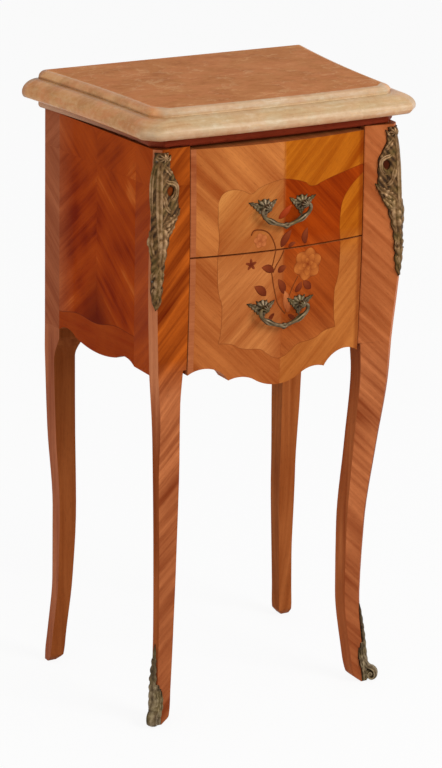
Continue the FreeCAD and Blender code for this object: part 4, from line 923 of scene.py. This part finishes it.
# Each frond: its line from root to tip round the corner, its width, its rise and how many notches it has
MOUNT_FRONDS = [
    ([(-4, 680), (-3.5, 655), (-4, 632), (-5, 606), (-6, 580), (-5, 556)], 7, 5.0, 0),
    ([(-9, 655), (-14, 651), (-19, 650), (-24.5, 646.5), (-26, 640), (-24, 633), (-18, 630.5), (-12, 633)],
     5.4, 4.8, 0),
    ([(-10, 602), (-18, 607), (-26, 612), (-33.5, 620)], 11, 4.8, 5),
    ([(-9, 590), (-16, 595), (-22, 600), (-27.5, 606)], 10, 4.6, 4),
    ([(-7, 670), (-12, 665), (-17, 660), (-22, 656)], 8, 4.6, 3),
    ([(-6, 643), (-9.5, 632), (-13, 623), (-19, 618), (-27, 623)], 7, 4.8, 3),
    ([(-8, 606), (-10, 590), (-9.5, 572), (-7, 550)], 14, 5.0, 5),
    ([(2, 598), (2.8, 587), (1, 575), (-3.5, 562)], 7, 4.6, 3),
    ([(1, 674), (3.6, 656), (3.8, 640), (3, 622), (0.5, 604)], 4.6, 3.6, 0),
    ([(-6, 562), (-5.5, 542), (-4, 524), (-3, 507)], 10, 4.6, 5),
    ([(-6, 556), (-10, 550), (-11, 541)], 5, 4.0, 2),
    ([(-4.5, 556), (-0.5, 549), (0.8, 540)], 5, 4.0, 2),
    ([(-5, 537), (-8, 531), (-8.5, 523)], 4, 3.6, 2),
    ([(-4, 537), (-1, 531), (0, 523)], 4, 3.6, 2),
    ([(-8, 676), (-13, 677), (-16.5, 681)], 6, 4.4, 2),
    ([(-6, 676), (-1, 678), (2, 682)], 6, 4.4, 2),
]


def mount_flank(first, last, z):
    """One flank of the plate as (across, z, height), and its tint: at each height a ring from edge to edge,
    over a back with slanting flutes and along the wood."""
    turn = np.linspace(0, 2 * np.pi, 28, endpoint=False)
    across = first[:, None] + (last - first)[:, None] * (1 - np.cos(turn)) / 2
    flutes = np.cos(0.62 * z[:, None] + 0.85 * across)
    crown = np.clip(np.sin(turn), 0, 1) ** 0.4
    height = PLATE_RISE * crown * (1 + 0.15 * flutes) + CAST_SINK * np.minimum(np.sin(turn), 0)
    strip = np.stack([across, np.broadcast_to(z[:, None], across.shape), height], axis=-1)
    return strip, (0.45 + 0.2 * flutes) * crown


def mount_plate():
    """The plate's two flanks: they overlap down the middle and part round the hole, and their outer edges are
    scalloped."""
    z = np.linspace(MOUNT_FRONT[0][0], MOUNT_FRONT[-1][0], 150)
    side, front = (cubic(z, marks, edge, np.gradient(edge, marks))
                   for marks, edge in (np.array(points, float).T for points in (MOUNT_SIDE, MOUNT_FRONT)))
    scallops = np.abs(np.sin(0.24 * z))
    side += 0.9 * scallops
    front -= 1.6 * scallops
    middle = side + (front - side) * 0.68
    middle += (HOLE[0] - middle) * np.exp(-((z - HOLE[1]) / 18) ** 2)
    gap = HOLE_HALF[0] * np.sqrt(np.clip(1 - ((z - HOLE[1]) / HOLE_HALF[1]) ** 2, 0, 1)) - 0.5
    return [mount_flank(side, middle + gap, z), mount_flank(middle - gap, front, z)]


def corner_mount(side, sign):
    """The plate, its fronds and a lobed boss at the top, bent round one front post."""
    forms = [tinted(on_corner(strip, POST, sign), tint) for strip, tint in mount_plate()]
    for points, width, rise, notches in MOUNT_FRONDS:
        strip, tint = bronze_leaf(points, width, rise, notches, count=48, root=0.25)
        forms.append(tinted(on_corner(strip, POST, sign), tint))
    turn = np.linspace(0, np.pi, 15)[:, None]
    ring = np.linspace(0, 2 * np.pi, 24, endpoint=False)
    lobes = np.cos(BOSS_LOBES * ring)
    radius = BOSS_RADIUS * np.sin(turn) * (1 + 0.1 * lobes)
    height = np.broadcast_to(3.0 + 3.4 * np.cos(turn), radius.shape)
    boss = np.stack([BOSS[0] + radius * np.cos(ring), BOSS[1] + radius * np.sin(ring), height], axis=-1)
    forms.append(tinted(on_corner(boss, POST, sign), np.clip(0.6 + 0.4 * lobes, 0, 1)))
    obj = piece(f"openwork_mount_{side}", forms, "case", mount_bronze)
    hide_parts(f"corner_mount_{side}")


for side, sign in SIDES.items():
    corner_mount(side, sign)


# Shoes: cast bronze casings on the outer corner of the two front feet, with a leaf up the corner and a
# curled toe. Made as the corner mounts are, in a greyer bronze, and held by a brad.

TOE = 149.6, -106.65
FOOT_LEVELS = np.array([0.0, 9, 40, 110, 200])
FOOT_CORNER = CASE_CORNER + np.array([[-9.2, 6.8], [-9.6, 7.6], [-12.2, 12.2], [-16.5, 18.5], [-14.6, 16.6]])
FOOT_WIDTH = np.array([11, 20.5, 22.2, 24, 27.4])
FOOT_DEPTH = np.array([11, 20.5, 21.4, 22, 24])
FOOT_CANT = 5.0
FLANK_TURN = 0.58
foot_front_end = FOOT_CORNER - np.stack([FOOT_WIDTH, FOOT_WIDTH * 0], axis=-1)
foot_flank_end = FOOT_CORNER + np.stack([FLANK_TURN * (FOOT_CANT - FOOT_DEPTH), FOOT_DEPTH], axis=-1)
FOOT = FOOT_LEVELS, canted(FOOT_CORNER, FOOT_CANT, foot_front_end, foot_flank_end)
CASING_REACH = -8.5, 14.5
CASING_TOP = 41.0
CASING_RISE = 2.6
TONGUE_HALF = 2.2
CORE_RADIUS = 6.6
CORE_HALF = 5.0
CORE_PLACE = -2.4, 8.4
SOLE_Z = 0.4

# Each frond: its line from root to tip round the corner, its width, its rise and how many notches it has
SHOE_FRONDS = [
    ([(1, 4), (1.2, 30), (1, 62), (0.6, 97)], 8, 5.2, 9),
    ([(-1.5, 6), (-4, 20), (-5.4, 34), (-5, 48)], 7, 4.8, 5),
    ([(3, 6), (6.5, 20), (8.5, 36), (7, 52)], 8, 4.8, 5),
    ([(-3, 4), (-6, 14), (-8.4, 27), (-8.8, 40)], 5.4, 4.4, 4),
    ([(4, 4), (9, 14), (12, 26), (12.5, 36)], 7, 4.4, 4),
]

# The curl's way out from the toe's middle, and its height
TOE_LINE = [(-13, 48), (-11.6, 38), (-9.8, 29.5), (-7.4, 22.6), (-3.6, 18), (0.8, 16.6), (4.2, 13.6),
            (5.2, 9.4), (4, 5.4), (0.4, 3.6), (-2.6, 5.6), (-2.8, 9.4), (-0.4, 11.6), (1.8, 10.2), (1.4, 8.4)]

shoe_bronze = bronze("shoe_bronze", tone(40, 30, 18), tone(100, 82, 58), tone(158, 140, 110))


def shoe_casing(count=56, columns=36):
    """The casing as (across, z, height), and its tint: rings one after another round the corner, each from
    the floor up to a scalloped edge on the outside and back down on the inside, ribbed up its height."""
    first, last = CASING_REACH
    across = np.linspace(first, last, count)
    top = CASING_TOP - 0.03 * across ** 2 + 3.2 * np.abs(np.cos(across * 0.36))
    turn = np.linspace(0, 2 * np.pi, columns, endpoint=False)
    outside = np.clip(np.sin(turn), 0, 1) ** 0.35
    ribs = 1 + 0.22 * np.cos(across * 1.9)[:, None]
    from_middle = np.abs(across - (first + last) / 2) / ((last - first) / 2)
    edge = np.clip((1 - from_middle) * 6, 0.15, 1)[:, None]
    height = CASING_RISE * outside * ribs * edge + CAST_SINK * np.minimum(np.sin(turn), 0)
    z = SOLE_Z + np.outer(top - SOLE_Z, (1 - np.cos(turn)) / 2)
    strip = np.stack([np.broadcast_to(across[:, None], z.shape), z, height], axis=-1)
    return strip, np.clip(height / 3.2, 0, 1)


def on_diagonal(out, aside, z, sign):
    """From out and aside, along and across the diagonal through the toe's middle, to the object's frame."""
    x = TOE[0] + (out + aside) * np.sqrt(0.5)
    y = TOE[1] + (-out + aside) * np.sqrt(0.5)
    return np.stack([x * sign, y, z], axis=-1)


def curled_toe(sign, count=80):
    """A tongue that runs down the corner, swells outwards and curls back in a scroll, as a flattened loop
    carried along TOE_LINE in the upright plane through the leg's diagonal."""
    line = smooth_line(TOE_LINE, count)
    ahead = unit(np.gradient(line, axis=0))
    share = np.linspace(0, 1, count)
    half_width = 2.0 + 4.4 * np.clip(share / 0.45, 0, 1) - 1.2 * np.clip((share - 0.6) / 0.4, 0, 1)
    ring = np.linspace(0, 2 * np.pi, 16, endpoint=False)
    ribs = np.cos(4 * ring)
    reach = TONGUE_HALF * np.sin(ring) * (1 + 0.16 * ribs)
    out = line[:, :1] + ahead[:, 1:] * reach
    z = line[:, 1:] - ahead[:, :1] * reach
    aside = half_width[:, None] * np.sign(np.cos(ring)) * np.abs(np.cos(ring)) ** 0.6
    return tinted(on_diagonal(out, aside, z, sign), 0.6 + 0.25 * ribs)


def toe_core(sign):
    """The solid roll inside the curl: a ball drawn out sideways and ribbed."""
    turn = np.linspace(0.05, np.pi - 0.05, 14)[:, None]
    ring = np.linspace(0, 2 * np.pi, 24, endpoint=False)
    ribs = np.cos(6 * ring)
    reach = CORE_RADIUS * np.sin(turn) * (1 + 0.06 * ribs)
    out = CORE_PLACE[0] + reach * np.cos(ring)
    z = CORE_PLACE[1] + reach * np.sin(ring)
    return tinted(on_diagonal(out, CORE_HALF * np.cos(turn), z, sign), 0.5 + 0.3 * ribs)


def shoe(side, sign):
    """The casing, the curled toe with its core, and fronds that fade to an even tint above the casing."""
    strip, tint = shoe_casing()
    forms = [tinted(on_corner(strip, FOOT, sign), tint), curled_toe(sign), toe_core(sign)]
    for points, width, rise, notches in SHOE_FRONDS:
        strip, tint = bronze_leaf(points, width, rise, notches, root=0.25)
        bright = np.clip((70 - strip[..., 1]) / 30, 0.35, 1)
        forms.append(tinted(on_corner(strip, FOOT, sign), tint * bright + 0.36 * (1 - bright)))
    obj = piece(f"leaf_shoe_{side}", forms, "case", shoe_bronze)
    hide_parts(f"shoe_{side}")


for side, sign in SIDES.items():
    shoe(side, sign)


# Board under the slab: a thin moulded board of stained and polished beech, pegged down on the case.
# Stained darker than the rails; its edge shows as a dark line under the slab, paler at the sides.

stained_wood("stained_sub_top", tone(98, 30, 14), tone(140, 56, 32), pale_ends=1.0).cover("sub_top")


# Slab: one piece of red-brown marble with a raised lip, a hollowed outline and an ovolo edge, lying loose.
# The flat top is honed and ruddy; the moulded edge is polished and paler, with painted highlights and shade
# in soft bands along the front and the sides, and tan with blotches at the sides.

SLAB_EAR_HALF = 177.0
SLAB_BACK_HALF = 199.0
SLAB_FRONT_Y = -127.65
SLAB_BACK_Y = 134.35
EAR_CUT = 14.0
FRONT_BOW = 4.0
SIDE_HOLLOW = 4.0
SLAB_BOTTOM = 700.0
NOSE_Z = 707.0
NOSE_ROUND = 5.0
CORE_INSET = 60.0
FACE_SLACK = 0.05
SHELF = 20.0, 721.6
GROOVE = 0.9, -0.5
LIP_STEP = 1.2
EDGE_STEP = 0.6
LIP_ROUND = 9.0, 7.6
SLAB_TOP = 730.0
SIDE_EDGE_X = 155.0
EAR_END_Y = -106.0
SIDE_SPLAY = (SLAB_BACK_HALF - SLAB_EAR_HALF) / (SLAB_BACK_Y - SLAB_FRONT_Y - EAR_CUT)


def bowed(start, end, bulge, count):
    """Points from start towards end on a shallow parabola that stands off the chord's right by bulge."""
    share = np.linspace(0, 1, count, endpoint=False)[:, None]
    along = np.subtract(end, start)
    aside = np.array([along[1], -along[0]]) / np.hypot(*along)
    return start + along * share + aside * (4 * bulge * share * (1 - share))


def slab_ring(inset, z):
    """The slab's outline drawn in by an inset at one height, counter-clockwise from the front left: a bowed
    front, canted ears, hollow splayed sides and a straight back."""
    ear = SLAB_EAR_HALF - inset
    front = SLAB_FRONT_Y + inset
    right = [(ear - EAR_CUT, front), (ear, front + EAR_CUT), (SLAB_BACK_HALF - inset, SLAB_BACK_Y)]
    corners = np.array([(-right[0][0], front)] + right + [(-x, y) for x, y in right[:0:-1]])
    bulges = [FRONT_BOW, 0, -SIDE_HOLLOW, 0, -SIDE_HOLLOW, 0]
    counts = [40, 4, 30, 24, 30, 4]
    edges = zip(corners, np.roll(corners, -1, axis=0), bulges, counts)
    plan = np.concatenate([bowed(start, end, bulge, count) for start, end, bulge, count in edges])
    return np.concatenate([plan, np.full((len(plan), 2), (z, 0.5))], axis=1)


def slab_profile():
    """The moulded edge as insets and heights, from the underside up: a round under the nose, a flat quarter
    ellipse up to a narrow shelf, and a lip with a rounded edge."""
    under = np.linspace(-np.pi / 2, 0, 7)
    over = np.linspace(0, np.pi / 2, 15)
    lip_wide, lip_tall = LIP_ROUND
    lip_in = SHELF[0] + LIP_STEP + lip_wide
    nose = [(NOSE_ROUND * (1 - np.cos(turn)), NOSE_Z + (NOSE_Z - SLAB_BOTTOM) * np.sin(turn))
            for turn in under]
    ovolo = [(SHELF[0] * (1 - np.cos(turn)), NOSE_Z + (SHELF[1] - NOSE_Z) * np.sin(turn))
             for turn in over[1:]]
    groove = [(SHELF[0] + GROOVE[0], SHELF[1] + GROOVE[1])]
    lip = [(lip_in - lip_wide * np.cos(turn), SLAB_TOP - lip_tall + lip_tall * np.sin(turn)) for turn in over]
    underside = [(CORE_INSET, SLAB_BOTTOM), (NOSE_ROUND + EDGE_STEP, SLAB_BOTTOM)]
    return underside + nose + ovolo + groove + lip + [(lip_in + EDGE_STEP, SLAB_TOP), (CORE_INSET, SLAB_TOP)]


# Painted highlights and shade in bands along the moulded edge at the front and at the sides, from the
# underside at 0 to the top at 1
FRONT_LIGHT_AND_SHADE_BANDS = [(0.1, tone(156, 96, 70)), (0.23, tone(186, 156, 130)), (0.34, tone(200, 178, 150)),
               (0.45, tone(172, 147, 113)), (0.6, tone(190, 157, 115)), (0.72, tone(196, 163, 120)),
               (0.83, tone(172, 148, 122)), (0.93, tone(206, 174, 146)), (1.0, tone(176, 130, 94))]
SIDE_LIGHT_AND_SHADE_BANDS = [(0.1, tone(216, 164, 110)), (0.3, tone(196, 142, 92)), (0.5, tone(206, 148, 90)),
              (0.65, tone(198, 134, 76)), (0.72, tone(216, 150, 84)), (0.8, tone(236, 186, 130)),
              (0.93, tone(226, 170, 118)), (1.0, tone(188, 118, 66))]


def marble(name, stops, redder, streaks, painted_light, rough, sheen):
    """Marble clouded in drifts, mottled, streaked along its bed and banded with painted highlights and shade
    by height, by the shares given, with stains, pale threads, and pale and dark specks; at the sides also
    blotched, dappled and painted dark as shade in the groove under the lip."""
    finish = Finish(name)
    x, y, z = finish.place()
    drift = finish.noise(x * 0.012, y * 0.012, z * 0.03, detail=4.0)
    cloud = finish.noise(x * 0.02 + drift * 2.2, y * 0.03 + drift * 1.4, z * 0.05, detail=6.0, rough=0.6)
    mottle = finish.noise(x * 0.11 + drift * 1.5, y * 0.15, z * 0.15, detail=5.0, rough=0.65)
    specks = finish.noise(x * 0.45, y * 0.5, z * 0.5, detail=3.0, rough=0.6)
    bed = finish.noise(x * 0.016, y * 0.016, z * 0.4 + drift * 2.0, detail=5.0, rough=0.65)
    lean = (cloud - 0.5) * 1.2 + (mottle - 0.5) * 1.1 + (bed - 0.5) * streaks
    body = finish.math("ADD", lean, 0.5, clamp=True)
    stain = finish.noise(x * 0.035 + drift, y * 0.035, z * 0.08 + 9.0, detail=4.0)
    at_side = (abs(x) - y * SIDE_SPLAY).over(SIDE_EDGE_X, 8.0) * y.over(EAR_END_Y, 26.0)
    height = (z - SLAB_BOTTOM) * (1 / (SLAB_TOP - SLAB_BOTTOM))
    # Painted highlights and shade: colour bands by height, front ones at the front and side ones at the
    # sides.
    bands = finish.blend(at_side, finish.ramp(height, *FRONT_LIGHT_AND_SHADE_BANDS), finish.ramp(height, *SIDE_LIGHT_AND_SHADE_BANDS))
    stained = stain.over(0.5, 0.12) * (redder + at_side * 0.4)
    blotch = at_side * (1 - cloud).over(0.52, 0.12)
    dapple = at_side * mottle.over(0.56, 0.16)
    # Painted shade: the groove under the lip is darkened at the sides.
    sunk = 1 - abs(z - SHELF[1]).over(0.9, 1.2)
    thread = finish.noise(x * 0.016 + mottle * 0.5, y * 0.022 + cloud, z * 0.05 + 5.0, detail=4.0)
    thread = 1 - abs(thread - 0.5).over(0.009, 0.012)
    colour = finish.lay(
        finish.ramp(body, *stops),
        (at_side * 0.65, tone(220, 146, 84)),
        (painted_light, bands),
        (stained, tone(206, 126, 78)),
        (blotch * 0.4, tone(168, 114, 64)),
        (dapple * 0.2, tone(226, 184, 134)),
        (sunk * at_side * 0.5, tone(120, 84, 48)),
        (thread * 0.25, tone(214, 176, 130)),
        (specks.over(0.68, 0.06) * 0.35, tone(214, 168, 120)),
        ((1 - specks).over(0.69, 0.06) * 0.3, tone(120, 66, 38)))
    finish.polish(colour, rough, relief=mottle * 0.05, Specular_IOR_Level=sheen)
    return finish


HONED_STOPS = [(0.1, tone(158, 89, 42)), (0.45, tone(178, 110, 58)), (0.7, tone(186, 120, 68)),
               (0.95, tone(204, 149, 98))]
POLISHED_STOPS = [(0.08, tone(160, 112, 70)), (0.35, tone(188, 152, 108)), (0.6, tone(200, 170, 130)),
                  (0.95, tone(222, 206, 176))]
honed = marble("honed_marble_top", HONED_STOPS, redder=0.25, streaks=0.0, painted_light=0.0, rough=0.55, sheen=0.03)
polished = marble("polished_marble_edge", POLISHED_STOPS, redder=0.12, streaks=1.3, painted_light=0.5, rough=0.2,
                  sheen=0.08)
slab_rings = np.stack([slab_ring(inset, z) for inset, z in slab_profile()])
slab = piece("moulded_slab", [slab_rings], "case", polished)
slab.data.materials.append(honed.material)
middles = np.empty(len(slab.data.polygons) * 3)
slab.data.polygons.foreach_get("center", middles)
_, middle_y, middle_z = middles.reshape(-1, 3).T / MILLIMETRE
on_top = middle_z > SLAB_TOP - FACE_SLACK
flat = on_top | (middle_z < SLAB_BOTTOM + FACE_SLACK) | (middle_y > SLAB_BACK_Y - FACE_SLACK)
slab.data.polygons.foreach_set("material_index", on_top.astype(np.int32))
slab.data.polygons.foreach_set("use_smooth", ~flat)
slab.data.update()
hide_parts("marble_top")


# Fixings: dowels under the slab's board, nails in the back board, brads in the mounts and nuts on the pulls.
# The dowels are beech, the rest is wrought iron and brass.

def forged_metal(name, dark, light):
    """Dull metal with patches of scale, rougher where it is light."""
    finish = Finish(name)
    x, y, z = finish.place()
    scale = finish.noise(x * 0.7, y * 0.7, z * 0.7, detail=4.0)
    finish.polish(finish.blend(scale, dark, light), 0.45 + scale * 0.25, relief=scale * 0.08, Metallic=0.9)
    return finish


bare_wood("beech_dowels", ALONG_Z, *PINE).cover("top_dowels")
forged_metal("nail_iron", tone(48, 44, 42), tone(104, 98, 92)).cover("back_panel_nails", "mount_brads")
forged_metal("nut_brass", tone(110, 84, 44), tone(176, 146, 88)).cover("upper_pull_nuts", "lower_pull_nuts")


# Studio: a wide pale floor that takes the shadow, in an even white surround that lens and metal see as white.
# A wide lamp stands at the front right and a weak one at the left, at a plain level of light.

FLOOR_HALF = 12.0
FLOOR_GLOW = 0.9
SURROUND_LEVEL = 0.6
SEEN_RAYS = "Is Camera Ray", "Is Glossy Ray", "Is Transmission Ray"


def pale_floor():
    """A square floor, matt and pale under the lamps, and mostly glowing white where lens and metal see it."""
    mesh = bpy.data.meshes.new("floor")
    corners = np.array([[-1, -1, 0], [1, -1, 0], [1, 1, 0], [-1, 1, 0]]) * FLOOR_HALF
    mesh.from_pydata(corners.tolist(), [], [[0, 1, 2, 3]])
    finish = Finish("pale_floor")
    finish.polish(tone(236, 236, 236), 0.9)
    glow = finish.nodes.new("ShaderNodeEmission")
    ray = finish.nodes.new("ShaderNodeLightPath").outputs
    mixed = finish.nodes.new("ShaderNodeMixShader")
    camera_ray, glossy_ray, transmitted_ray = (Wire(finish, ray[kind]) for kind in SEEN_RAYS)
    seen = camera_ray.most(glossy_ray).most(transmitted_ray)
    finish.feed(mixed.inputs[0], seen * FLOOR_GLOW)
    finish.links.new(finish.shader.outputs[0], mixed.inputs[1])
    finish.links.new(glow.outputs[0], mixed.inputs[2])
    finish.links.new(mixed.outputs[0], finish.nodes["Material Output"].inputs["Surface"])
    mesh.materials.append(finish.material)
    floor = bpy.data.objects.new("floor", mesh)
    bpy.context.collection.objects.link(floor)


def white_surround(level):
    """A world that lights at the level given and that lens, metal and glass see as white."""
    world = bpy.data.worlds.new("surround")
    world.use_nodes = True
    bpy.context.scene.world = world
    tree = world.node_tree
    ray = tree.nodes.new("ShaderNodeLightPath").outputs
    strength = None
    for kind in SEEN_RAYS:
        node = tree.nodes.new("ShaderNodeMath")
        node.operation = "MAXIMUM"
        node.inputs[1].default_value = level
        tree.links.new(ray[kind], node.inputs[0])
        if strength is not None:
            tree.links.new(strength, node.inputs[1])
        strength = node.outputs[0]
    sky = tree.nodes["Background"]
    sky.inputs["Color"].default_value = (1, 1, 1, 1)
    tree.links.new(strength, sky.inputs["Strength"])


def lamp(name, place, aim, size, power):
    """A square lamp turned towards its aim, with places and size in metres and power in watts."""
    light = bpy.data.lights.new(name, "AREA")
    light.size = size
    light.energy = power
    obj = bpy.data.objects.new(name, light)
    obj.location = place
    obj.rotation_euler = (Vector(aim) - Vector(place)).to_track_quat("-Z", "Y").to_euler()
    bpy.context.collection.objects.link(obj)


pale_floor()
white_surround(SURROUND_LEVEL)
lamp("key_lamp", (1.1, -2.0, 1.7), (0, 0, 0.45), 1.2, 38)
lamp("fill_lamp", (-2.2, -1.2, 1.2), (0, 0, 0.4), 1.6, 8)

bpy.context.scene.view_settings.view_transform = "Standard"


# Camera: stands at the front left, a little above the top, and looks down at the middle of the table.
# A long lens, rolled by about a degree and shifted by a few picture points to frame it.

IMAGE_HEIGHT = 768
LENS_SHIFT = 1.43, -2.72
FAR_END = 50
AIM = Vector((0, 0.01335, 0.365))
DISTANCE = 3.60034
AZIMUTH = np.radians(-29.93)
ELEVATION = np.radians(17.95)
ROLL = np.radians(1.13)
FOCUS_PIXELS = 3057.34

back = Vector((np.sin(AZIMUTH) * np.cos(ELEVATION), -np.cos(AZIMUTH) * np.cos(ELEVATION), np.sin(ELEVATION)))
level_right = back.cross(Vector((0, 0, 1))) * -1
level_right.normalize()
level_up = back.cross(level_right)
right = level_right * np.cos(ROLL) + level_up * np.sin(ROLL)
up = level_up * np.cos(ROLL) - level_right * np.sin(ROLL)
lens = bpy.data.cameras.new("camera")
lens.lens = FOCUS_PIXELS / IMAGE_HEIGHT * lens.sensor_width
lens.shift_x = LENS_SHIFT[0] / IMAGE_HEIGHT
lens.shift_y = LENS_SHIFT[1] / IMAGE_HEIGHT
lens.clip_end = FAR_END
camera = bpy.data.objects.new("camera", lens)
camera.matrix_world = Matrix((right, up, back)).transposed().to_4x4()
camera.location = AIM + back * DISTANCE
bpy.context.collection.objects.link(camera)
bpy.context.scene.camera = camera
